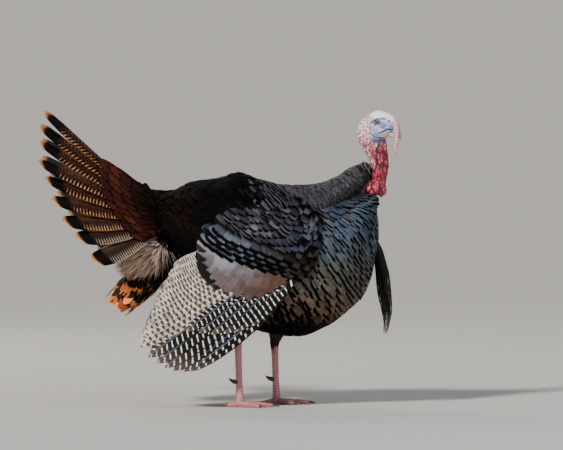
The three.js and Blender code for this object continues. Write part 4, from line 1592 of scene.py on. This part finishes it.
def chart(count, rows_of, margin=0.012):
    """Centres and sizes of side-by-side strips on the map, one for each quill, in rows."""
    per = math.ceil(count / rows_of)
    n = np.arange(count)
    w, h = 1 / per, 1 / rows_of
    centres = np.stack([(n % per + 0.5) * w, (n // per + 0.5) * h], -1)
    return centres, np.broadcast_to([w - margin, h - margin], (count, 2))


def both_sides(name, right, tints, v, values=None, rows_of=2):
    """The piece for quills of the right side and the same ones on the left. tints and values are
    given for the right ones."""
    values = {key: np.tile(value, 2) for key, value in (values or {}).items()}
    centres, patches = chart(2 * len(right), rows_of)
    tints = np.tile(np.broadcast_to(tints, (len(right), 3)), (2, 1))
    return plumage(name, two_sides(right), tints, centres, patches, values, v)


def shares(count):
    """Where each of a number of feathers stands in its row, from 0 to 1."""
    return (np.arange(count) + 0.5) / count


def fanned(starts, ends, count, belly=0.0, reach=lambda share, v: v):
    """Shafts from points on one line to points on another, or over a reach of that way. They bow
    downwards by a half sine, most at the first feather."""

    def place(i, v):
        share = (i + 0.5) / count
        a, b, along = row_at(starts, share), row_at(ends, share), reach(share, v)
        bend = belly * np.sin(np.pi * along) * (1 - share)
        return a + (b - a) * along[..., None] + np.stack([0.5 * bend, -bend], -1)

    return place


QUILL_BUMP = 0.15  # the depth of the barbs' relief on big feathers

# Greater coverts: the smooth panel, from under the shoulder to its rounded edge.
PANEL = 13
panel_roots = [[184, 366], [130, 384], [70, 408], [10, 436], [-14, 440]]
panel_tips = [[168, 336], [122, 292], [70, 271], [8, 287], [-34, 312], [-55, 350], [-54, 402]]
panel_wide = lambda i, v: 20 * outline(v, 0.6, 0.5, 0.45)
flat, ridge, u, v = quills(
    fanned(panel_roots, panel_tips, PANEL), PANEL, panel_wide, rows=18, tip=0.1
)
right = on_sheet(flat, 5.0 + 0.35 * u[None, None] + ridge * 0.15)
panel_tint = blend(paint("#5f4136"), paint("#a2a5b4"), step(shares(PANEL), 0.15, 0.85))
panel_tint = panel_tint * rng.uniform(0.9, 1.1, (PANEL, 1))
rear = {"rear": step(shares(PANEL), 0.45, 0.8)}
piece = both_sides("wing_covert_panel", right, panel_tint, v, rear)


def panel_colour(tree):
    """Plain satin vane, copper towards its end, with a dark tip that is widest at the rear."""
    place = use(tree, spot)
    start = calc(tree, "MULTIPLY_ADD", value(tree, "rear"), -0.17, 0.95)
    ragged = calc(tree, "MULTIPLY_ADD", cloud(tree, 9.0), 0.1, -0.05)
    ragged = calc(tree, "ADD", place["along"], ragged)
    tip = between(tree, calc(tree, "SUBTRACT", ragged, start), 0.0, 0.03)
    rust = calc(tree, "MULTIPLY", between(tree, place["along"], 0.25, 0.95), 0.75)
    body = mix(tree, rust, tint(tree), paint("#543b31"))
    streak = calc(tree, "MULTIPLY", between(tree, cloud(tree, 26.0), 0.42, 0.66), 0.5)
    body = mix(tree, streak, body, paint("#3a302f"))
    body = mix(tree, calc(tree, "MULTIPLY", place["barbs"], 0.14), body, paint("#2c2524"))
    return mix(tree, tip, body, paint("#080809"))


panel_finish = feather_finish("covert panel", panel_colour, 0.42, 0.2, 0.2, QUILL_BUMP)
hand_over(piece, panel_finish, "wing_panel", *both("wing_coverts"))

# %% Secondaries: pale with brown spots
SECONDARIES, SPOTS = 11, 18
arm_roots = [[60, 300], [20, 330], [-8, 362], [-20, 392]]
arm_tips = [[-204, 150], [-196, 186], [-172, 236], [-146, 296], [-112, 356]]
arm_wide = lambda i, v: 19.5 * outline(v, 0.5, 0.5, 0.35)
flat, ridge, u, v = quills(
    fanned(arm_roots, arm_tips, SECONDARIES), SECONDARIES, arm_wide, rows=24, tip=0.07
)
right = on_sheet(flat, 2.2 + 0.45 * u[None, None] + ridge * 0.3)
piece = both_sides("wing_secondary_quills", right, paint("#cfc4b4"), v)


def spotted_colour(tree):
    """Cream vane with brown spots: a sine along it picks their places, shifted half a step from one
    side of the shaft to the other, and they keep clear of shaft and edges."""
    place = use(tree, spot)
    wide = calc(tree, "ABSOLUTE", place["across"])
    shift = calc(tree, "MULTIPLY", calc(tree, "SIGN", place["across"]), math.tau / 4)
    phase = calc(tree, "MULTIPLY_ADD", value(tree, "chance"), 5.0, shift)
    wave = calc(tree, "SINE", calc(tree, "MULTIPLY_ADD", place["along"], SPOTS * math.tau, phase))
    side = calc(tree, "SINE", calc(tree, "MULTIPLY", wide, math.pi))
    both_high = calc(tree, "MULTIPLY_ADD", calc(tree, "SUBTRACT", side, 1.0), 1.3, wave)
    mottling = cloud(tree, 8.0)
    rough = calc(tree, "MULTIPLY_ADD", mottling, 1.2, both_high)
    fade = calc(tree, "MULTIPLY", between(tree, place["along"], 0.75, 1.0), 0.5)
    spots = between(tree, calc(tree, "SUBTRACT", rough, fade), 0.22, 0.6)
    body = mix(tree, between(tree, mottling, 0.35, 0.7), paint("#d4cdc5"), paint("#8f857c"))
    body = mix(tree, spots, body, paint("#3f3026"))
    return mix(tree, calc(tree, "MULTIPLY", place["barbs"], 0.1), body, paint("#8f8172"))


spotted = feather_finish("spotted secondaries", spotted_colour, 0.6, 0.2, bump=QUILL_BUMP)
hand_over(piece, spotted, "secondaries", *both("wing_secondaries"))

# %% Primaries and their coverts: black with white bars
PRIMARIES, PRIMARY_BARS, COVERT_BARS = 6, 18.0, 9.5
BELLY = 18  # how far the first primary bows down, in millimetres
hand_roots = [[204, 352], [150, 318], [92, 298], [34, 286]]
hand_tips = [[-70, 96], [-108, 94], [-148, 108], [-186, 134]]

hand_place = fanned(hand_roots, hand_tips, PRIMARIES, BELLY)
hand_wide = lambda i, v: 19.5 * outline(v, 0.6, 0.4, 0.3)
flat, ridge, u, v = quills(hand_place, PRIMARIES, hand_wide, tip=0.07, bias=-0.25)
right = on_sheet(flat, 2.2 + 1.1 * u[None, None] + ridge)

# The primary coverts lie over the roots of the primaries.
wrist_reach = lambda share, v: 0.12 + (0.36 + 0.1 * share) * v
wrist_place = fanned(hand_roots, hand_tips, PRIMARIES, BELLY, wrist_reach)
wrist_wide = lambda i, v: 15 * outline(v, 0.7, 0.5, 0.4)
flat, ridge, u, v = quills(wrist_place, PRIMARIES, wrist_wide, tip=0.1, bias=-0.2)
over = on_sheet(flat, 4.4 + 0.9 * u[None, None] + ridge * 0.6)
bars = {"bars": np.repeat([PRIMARY_BARS, COVERT_BARS], PRIMARIES) * 2 * np.pi}
right = np.concatenate([right, over])
piece = both_sides("wing_primary_quills", right, paint("#17161a"), v, bars)


def banded_colour(tree):
    """Black vane with white bars: a sine along it that leans a little with the barbs. Towards the
    end of the vane the black turns grey-brown. A blue-grey line along the shaft is a painted
    highlight."""
    place = use(tree, spot)
    wide = calc(tree, "ABSOLUTE", place["across"])
    lean = calc(tree, "MULTIPLY_ADD", wide, -0.034, place["along"])
    start = calc(tree, "MULTIPLY", value(tree, "chance"), 6.28)
    wave = calc(tree, "SINE", calc(tree, "MULTIPLY_ADD", lean, value(tree, "bars"), start))
    bars = between(tree, calc(tree, "MULTIPLY_ADD", cloud(tree, 7.0), 1.1, wave), 1.18, 1.42)
    bars = calc(tree, "MULTIPLY", bars, between(tree, wide, 0.12, 0.25))
    bars = calc(tree, "MULTIPLY", bars, between(tree, calc(tree, "SUBTRACT", 1.0, wide), 0.06, 0.2))
    worn = calc(tree, "MULTIPLY", between(tree, place["along"], 0.72, 1.0), 0.7)
    ground = mix(tree, worn, paint("#08080a"), paint("#5a4f47"))
    body = mix(tree, bars, ground, paint("#dad6cd"))
    body = mix(tree, calc(tree, "MULTIPLY", place["barbs"], 0.1), body, paint("#3a3634"))
    # The blue-grey line along the shaft is a painted highlight.
    return mix(tree, between(tree, wide, 0.03, 0.1), paint("#596071"), body)


banded = feather_finish("banded primaries", banded_colour, 0.5, 0.12, bump=QUILL_BUMP)
hand_over(piece, banded, "primaries", *both("wing_primaries"))

# %% [markdown]
# ## Tail
# Eighteen long quills make the fan. It is tented: each half droops from the middle. A fan place is
# a turn from the middle feather and a reach from the tail's root.

# %% The fan as a sheet
TAIL_RISE, TAIL_DROOP, TAIL_SPREAD = math.radians(43.4), math.radians(30.2), 84
TAIL_LENGTH, OUTER_SHARE, TAIL_FEATHERS, TAIL_BARS = 418, 0.9, 9, 36
TAIL_ROOT, BARE_QUILL = np.array([-128.0, -0.3, 461]), 24  # the quill starts that far out
tail_along = np.array([-math.cos(TAIL_RISE), 0, math.sin(TAIL_RISE)])
tail_down = np.array([-math.sin(TAIL_RISE), 0, -math.cos(TAIL_RISE)])
tail_across = np.array([0, -math.cos(TAIL_DROOP), 0]) + math.sin(TAIL_DROOP) * tail_down
tail_out = unit(np.cross(tail_across, tail_along))
tail_out = tail_out * np.sign(tail_out[2])


def on_tail(flat, lift):
    """Flat (along, across) millimetres on the right half of the fan, lifted off it."""
    lift = np.broadcast_to(lift, flat.shape[:-1])
    return (
        TAIL_ROOT
        + flat[..., :1] * tail_along
        + flat[..., 1:] * tail_across
        + lift[..., None] * tail_out
    )


def tail_place(i, v):
    """Shafts of the rectrices: rays of the fan that bow slightly towards its middle."""
    share = (i + 0.5) / TAIL_FEATHERS
    uneven = np.sin(i * 2.4 + 0.6)
    length = TAIL_LENGTH * (1 - (1 - OUTER_SHARE) * share) * (1 + 0.012 * uneven)
    turn = np.radians(share * TAIL_SPREAD + 1.5 * np.sin(np.pi * v) - 1.0 * v + 0.9 * v * uneven)
    reach = BARE_QUILL + (length - BARE_QUILL) * v
    return np.stack([reach * np.cos(turn), reach * np.sin(turn)], -1)


def tail_wide(i, v):
    """Half width of a rectrix: a quarter sine up to four fifths of it, then a little narrower."""
    return 5 + 22 * np.sin(0.5 * np.pi * np.clip(v / 0.8, 0, 1)) * (1 - 0.22 * step(v, 0.8, 1))


flat, ridge, u, v = quills(tail_place, TAIL_FEATHERS, tail_wide, rows=34, columns=9, tip=0.075)
right = on_tail(flat, 1.6 + 3.4 * u[None, None] + 1.6 * ridge)
centres, patches = chart(2 * TAIL_FEATHERS, 2)
# Left and right vanes change places in the mirror, so each feather knows its own side.
extra = {
    "outer": np.tile(shares(TAIL_FEATHERS), 2),
    "side": np.repeat([1.0, -1.0], TAIL_FEATHERS),
}
tail_tint = np.tile(paint("#5a3320"), (2 * TAIL_FEATHERS, 1))
piece = plumage("tail_quills", two_sides(right), tail_tint, centres, patches, extra, v)


def tail_colour(tree):
    """Fine tan and chestnut bars on black-brown, pale edges painted as sunlit rims and glow, a
    black band, and a chestnut tip. The vane that lies under its neighbour is darker and has fainter
    bars, as painted shade."""
    place = use(tree, spot)
    wide = calc(tree, "ABSOLUTE", place["across"])
    curve = calc(tree, "POWER", wide, 2.0)
    mottling = cloud(tree, 6.0, 4.0)
    lean = calc(tree, "MULTIPLY_ADD", wide, -0.03, place["along"])
    phase = calc(tree, "MULTIPLY_ADD", lean, TAIL_BARS * math.tau, value(tree, "chance"))
    wave = calc(tree, "SINE", phase)
    bars = between(tree, calc(tree, "MULTIPLY_ADD", mottling, 1.7, wave), 1.05, 1.5)
    strong = calc(tree, "MULTIPLY_ADD", between(tree, wide, 0.1, 0.7), 0.8, 0.2)
    bars = calc(tree, "MULTIPLY", bars, strong)
    outer = between(tree, value(tree, "outer"), 0.66, 0.9)
    light = mix(tree, between(tree, mottling, 0.4, 0.62), paint("#a8582c"), paint("#d8b184"))
    light = mix(tree, outer, light, paint("#b8a88f"))
    exposed = calc(tree, "MULTIPLY", place["across"], value(tree, "side"))
    # The vane that lies under its neighbour is painted darker, as shade.
    shaded = between(tree, calc(tree, "MULTIPLY", exposed, -1.0), -0.2, 0.1)
    bars = calc(tree, "MULTIPLY", bars, calc(tree, "MULTIPLY_ADD", shaded, -0.75, 1.0))
    body = mix(tree, bars, mix(tree, shaded, paint("#150a07"), paint("#2a110a")), light)
    # The pale rim along each vane's edge is painted sunlit rim light and glow.
    rim = calc(tree, "MULTIPLY", between(tree, wide, 0.84, 0.97), 0.85)
    body = mix(tree, rim, body, mix(tree, outer, paint("#a3592b"), paint("#d3c1a4")))
    lip = calc(tree, "MULTIPLY_ADD", curve, 0.022, place["along"])
    ragged = calc(tree, "MULTIPLY_ADD", mottling, 0.05, calc(tree, "ADD", lip, -0.025))
    body = mix(tree, between(tree, ragged, 0.815, 0.86), body, paint("#060505"))
    tip = mix(tree, between(tree, lip, 0.955, 1.0), paint("#9a4c20"), paint("#e0a76f"))
    body = mix(tree, between(tree, ragged, 0.953, 0.97), body, tip)
    return mix(tree, between(tree, wide, 0.0, 0.06), paint("#2a1a12"), body)


tail_finish = feather_finish("tail quills", tail_colour, 0.55, 0.1, bump=QUILL_BUMP)
hand_over(piece, tail_finish, "tail_feathers", *both("tail"))

# %% Upper tail coverts: five tiers over the roots of the fan
tiers, tints = [], []
for reach, feathers, wide, lifted, colour in (
    (246, 8, 29, 5.0, "#401c12"),
    (214, 9, 27, 8.0, "#4a2013"),
    (178, 9, 26, 11.0, "#351710"),
    (142, 10, 24, 14.5, "#22100c"),
    (104, 9, 22, 18.5, "#160d0b"),
):

    def covert_place(i, v, reach=reach, feathers=feathers):
        """Shafts of one tier, shorter towards the outside of the fan."""
        share = (i + 0.5) / feathers
        turn = np.radians(share * (TAIL_SPREAD - 4) + 1.2 * np.sin(i * 2.1 + reach))
        far = 22 + (reach * (1 - 0.25 * share) - 22) * v
        return np.stack([far * np.cos(turn), far * np.sin(turn)], -1)

    covert_wide = lambda i, v, wide=wide: wide * outline(v, 0.35, 0.7, 0.4)
    flat, ridge, u, v = quills(covert_place, feathers, covert_wide, rows=14, tip=0.12)
    swell = 12 * (1 - v[None, :, None]) ** 1.3
    tiers.append(on_tail(flat, lifted + swell + 1.2 * u[None, None] + ridge))
    tints.append(np.tile(paint(colour), (feathers, 1)) * rng.uniform(0.7, 1.5, (feathers, 1)))
right, tints = np.concatenate(tiers), np.concatenate(tints)
extra = {"band": np.zeros(len(right))}
piece = both_sides("tail_covert_plumage", right, tints, v, extra, rows_of=4)
tail_covert_colour = contour_colour(paint("#0c0605"), paint("#0e0706"), band=0.95, soft=0.05)
tail_covert_finish = feather_finish("tail coverts", tail_covert_colour, 0.5, 0.12)
hand_over(piece, tail_covert_finish, "tail_coverts", *both("tail_coverts"))

# %% [markdown]
# ## Under the tail
# Long black coverts with rufous tips hang below the fan, and above them the vent is covered with
# soft grey-brown down.

# %% Undertail coverts
UNDERTAIL = [
    [-105, 0, 412, 60, 35],
    [-150, 0, 362, 84, 46],
    [-195, 0, 314, 98, 50],
    [-232, 0, 277, 92, 44],
    [-250, 0, 262, 70, 33],
]
root, up, ahead, place = ring_roots(UNDERTAIL, 22, 25, 14, 0.08, 0.62)
count = len(root)
along = flat_to(ahead + rng.normal(0, 0.13, ahead.shape), up)
grid = lay_vanes(
    root,
    along,
    up,
    80 * rng.uniform(0.78, 1.08, count),
    rng.uniform(25, 36, count),
    7 + rng.normal(0, 3, count),
    14,
    arch=0.06,
    blunt=0.6,
)
centres = 0.03 + 0.94 * np.stack([place[:, 1] / (2 * np.pi), (place[:, 0] - 0.08) / 0.66], -1)
centres = np.clip(centres, 0.02, 0.98)
extra = {"band": -0.3 * step(-place[:, 0], -0.3, -0.2)}
undertail_tint = np.tile(paint("#1d110d"), (count, 1))
piece = plumage("undertail_plumage", grid, undertail_tint, centres, 0.016, extra, ALONG)
undertail_colour = contour_colour(
    lambda tree: mix(tree, value(tree, "chance"), paint("#a84f1e"), paint("#f29550")),
    paint("#060404"),
    band=0.77,
    soft=0.04,
    bow=0.1,
)
undertail_finish = feather_finish("undertail coverts", undertail_colour, 0.55, 0.1)
hand_over(piece, undertail_finish, "undertail_coverts", "undertail_coverts")

# %% Down at the vent
count, DOWN_DEPTH, DOWN_STARTS = 4200, 16, -135  # down is rooted that deep, and only behind that x
cosine = rng.uniform(-1, 1, count)
turn = rng.uniform(0, 2 * np.pi, count)
sine = np.sqrt(1 - cosine**2)
ball = np.stack([cosine, sine * np.cos(turn), sine * np.sin(turn)], -1)
radii = np.array(FLUFF["radii"]) - DOWN_DEPTH
spin = tilted(FLUFF["tilt"])
root = (ball * radii) @ spin.T + FLUFF["centre"]
up = unit((ball / radii) @ spin.T)
root, up, ball = only(root[:, 0] < DOWN_STARTS, root, up, ball)
count = len(root)
along = flat_to(np.array([-0.72, 0, -0.66]) + rng.normal(0, 0.11, root.shape), up)
grid = lay_vanes(
    root,
    along,
    up,
    rng.uniform(46, 80, count),
    rng.uniform(2.6, 5.0, count),
    rng.uniform(6, 20, count),
    rng.uniform(12, 28, count),
    arch=0.15,
    v=np.array([0, 0.3, 0.6, 0.85, 1.0]),
    u=np.array([-1.0, 0, 1]),
)
down_tint = layered(
    paint("#b3927a"),
    (paint("#e6cbb4"), rng.random(count)),
    (paint("#7a6355"), step(-root[:, 2], -380, -340) * rng.random(count)),
)
centres = 0.5 + 0.48 * ball[:, 1:]
remember(root, down_tint)
piece = plumage("vent_down", grid, down_tint, centres, 0.003)


def down_colour(tree):
    """A greyer root, and faint barbs."""
    place = use(tree, spot)
    body = mix(tree, between(tree, place["along"], 0.0, 0.5), paint("#8a7466"), tint(tree))
    return mix(tree, calc(tree, "MULTIPLY", place["barbs"], 0.2), body, paint("#9a8677"))


down_finish = new_material("down", down_colour, 0.9, Sheen_Weight=0.3)
hand_over(piece, down_finish, "vent_fluff", "vent_fluff")

# %% [markdown]
# ## The skin under the coat
# A gap between two feathers must not show a foreign colour. So each point of the skin takes the
# colour of the feather that is rooted nearest to it, a little darker, as if in shade.

# %% Colour the skin like its coat
SKIN_SHADE = 0.7
places, tints = np.concatenate(coat_places), np.concatenate(coat_tints)
covered = np.full(len(skin_points), True)
covered[fine[near]] = False
match, _ = nearest_of(places, skin_points[covered])
skin_tint[covered] = SKIN_SHADE * tints[match]
set_colours(one_skin.color_attributes["tint"], skin_tint)
print(covered.sum(), "points of skin coloured like", len(places), "feathers")

# %% [markdown]
# ## Beard
# The beard is a tuft of coarse bristles that hangs from the breast. Each bristle is a thin
# three-sided tube. It starts near the tuft's line, follows it with its own share of the tuft's
# width, and ends at its own length, which frays the tip.

# %% Bristles
BEARD = [
    [380, 0, 424, 6, 7],
    [393, 0, 395, 10, 11],
    [399, 0, 360, 12, 15],
    [405, 0, 325, 13, 18],
    [409, 0, 285, 13, 18],
    [414, 0, 250, 11, 16],
    [416, 0, 215, 8, 11],
    [411, 0, 180, 3, 3],
]
count, rows = 330, 12  # bristles, and the rings of each
THICK, FILLED = 0.75, 0.92  # half thickness at the root, and the share of the tuft that they fill
share = np.sqrt(rng.random(count))
turn = rng.uniform(0, 2 * np.pi, count)
ends = rng.uniform(0.6, 1.0, count)
t = np.linspace(0, 1, rows)[None] * ends[:, None]
line = row_at(BEARD, t)
wobble = (0.8 + 3.5 * t**3) * np.sin(t * 7 + turn[:, None] * 3)
sideways = line[..., 3] * share[:, None] * np.cos(turn)[:, None] * FILLED + wobble
forward = line[..., 4] * share[:, None] * np.sin(turn)[:, None] * FILLED + wobble
centre = line[..., :3] + np.stack([forward, sideways, 0 * forward], -1)
thick = THICK * (1 - 0.75 * np.linspace(0, 1, rows) ** 2)
corner = np.array([0, 2.094, 4.189])
offsets = np.stack([np.cos(corner), np.sin(corner), 0 * corner], -1)
strands = centre[:, :, None] + thick[None, :, None, None] * offsets
points, faces = join_shells([shell(s[::-1]) for s in strands])
faces = [np.concatenate([f for f in faces if f.shape[1] == sides]) for sides in (4, 3)]
centres = np.stack([0.03 + 0.94 * turn / (2 * np.pi), 0.03 + 0.94 * share], -1)
within = np.stack([np.tile([0, 0.5, 1.0], rows), np.repeat(np.linspace(0, 1, rows), 3)], -1)
bake = np.repeat(centres, rows * 3, axis=0) + 0.003 * np.tile(within, (count, 1))
piece = make_mesh("beard_bristles", points, faces, {"OFBake": bake})
bristle_colour = mottled(12.0, 2.0, 1.0, paint("#1c1714"), paint("#060606"))
bristle_finish = new_material("bristles", bristle_colour, 0.32)
hand_over(piece, bristle_finish, "beard", "beard")

# %% [markdown]
# ## Legs
# The bare leg is covered with horny plates, called scutes: broad ones down the front of the shank
# and over the toes, and fine scales behind. A leg is fused from tubes. Then each point is raised
# by a saw-tooth of its distance along its own bone.

# %% Leg forms
SHANK = [
    [-4, 0, 186, 9, 11],
    [-3, 0, 158, 8.5, 9.5],
    [-2, 0, 110, 7, 8.5],
    [0, 0, 50, 7, 8.5],
    [2, 0, 8, 9.5, 11],
]
SPUR = [[-2, 0, 62, 6.5, 6.5], [-16, 0, 65, 5, 5], [-27, 0, 72, 0.8, 0.8]]
HEEL_RADII = (11.5, 10.5, 11.5)
SCUTE, TOE_SCUTE, RELIEF = 7.5, 5.5, 0.8  # lengths of the plates on shank and toe, and their height
TOES = {"middle": (84, 0), "inner": (60, 38), "outer": (64, -36), "hind": (30, 172)}


def toe_rows(rows, angle, side):
    """Rows of a toe that points ahead, turned to the toe's own angle and put on its foot."""
    turn = math.radians(angle) * -side
    far, _, *others = np.array(rows, float).T
    return at_leg(np.stack([far * math.cos(turn), far * math.sin(turn), *others], -1), side)


def toe_line(length):
    """Rows of one toe: knuckles swell it a little between its joints."""
    return [
        [-4, 0, 8, 8, 9.5],
        [length * 0.2, 0, 7.2, 6.6, 8.2],
        [length * 0.35, 0, 6.8, 7.2, 8.2],
        [length * 0.52, 0, 6, 5.8, 7],
        [length * 0.7, 0, 5.6, 6.2, 7],
        [length * 0.86, 0, 4.8, 4.8, 5.6],
        [length, 0, 4, 4, 4.8],
    ]


def claw_rows(length):
    """Rows of one claw: it curves down to a blunt point."""
    return [
        [length - 6, 0, 5.4, 3.6, 3.8],
        [length + 4, 0, 5.6, 3.0, 3.3],
        [length + 12, 0, 4.0, 1.8, 2.0],
        [length + 17, 0, 1.7, 0.6, 0.7],
    ]


def toe_shells(line, side, **options):
    """One closed form for each toe of a foot, from the rows that a line gives for its length."""
    return [shell(tube(toe_rows(line(n), a, side), **options)) for n, a in TOES.values()]


leg_finish = new_material(
    "leg scutes",
    mottled(5.0, 4.0, 0.5, paint("#8b4f52")),
    0.42,
    height=lambda tree: cloud(tree, 1.5),
    bump=0.2,
)
claw_colour = mottled(4.0, 3.0, 1.0, paint("#5a4a3c"), paint("#1c1714"))
horn = new_material("claw horn", claw_colour, 0.35)

for side, label in SIDES:
    forms = [shell(tube(at_leg(SHANK, side), sides=28, steps=40))]
    forms.append(shell(lump((FOOT_X[side], side * STANCE, 9), HEEL_RADII)))
    forms += toe_shells(toe_line, side, sides=24, steps=30)
    points, quads, normals = fuse(forms, LEG_VOXEL, relax=3)
    local = points - [FOOT_X[side], side * STANCE, 0]
    plates = np.zeros(len(points))
    high = step(local[:, 2], 12, 20)
    ridge_wave = (local[:, 2] / SCUTE) % 1
    front = step(local[:, 0], -1, 4) * high
    plates += front * (0.9 * ridge_wave**0.6 - 0.5)
    scales = cells(points, 3.6, 3)
    plates += (1 - front) * 0.5 * (step(scales[1] - scales[0], 0, 0.25) - 0.6)
    for _, angle in TOES.values():
        turn = math.radians(angle) * -side
        far = local[:, 0] * math.cos(turn) + local[:, 1] * math.sin(turn)
        off = -local[:, 0] * math.sin(turn) + local[:, 1] * math.cos(turn)
        mine = step(far, 12, 18) * (np.abs(off) < 7.5) * (1 - high) * step(normals[:, 2], 0.2, 0.6)
        plates += mine * (0.9 * ((far / TOE_SCUTE) % 1) ** 0.6 - 0.3)
    points = points + normals * (plates * RELIEF)[:, None]
    points[:, 2] = np.maximum(points[:, 2], 0.0)
    pinkish = blend(paint("#a86064"), paint("#e3a3a5"), step(plates, -0.4, 0.3))
    pinkish = blend(pinkish, paint("#855654"), 0.6 * step(-points[:, 2], -30, -6))
    leg = make_mesh(f"leg_skin_{label}", points, [quads], colours={"tint": pinkish})
    hand_over(leg, leg_finish, "leg_skin", f"shank_{label}", f"foot_{label}")
    nails = toe_shells(claw_rows, side, sides=16, steps=14)
    claws = make_mesh(f"claws_{label}", *join_shells(nails))
    hand_over(claws, horn, "horn", *[f"claw_{toe}_{label}" for toe in TOES])
    spur = make_mesh(f"leg_spur_{label}", *shell(tube(at_leg(SPUR, side), sides=20, steps=16)))
    hand_over(spur, horn, "horn", f"spur_{label}")
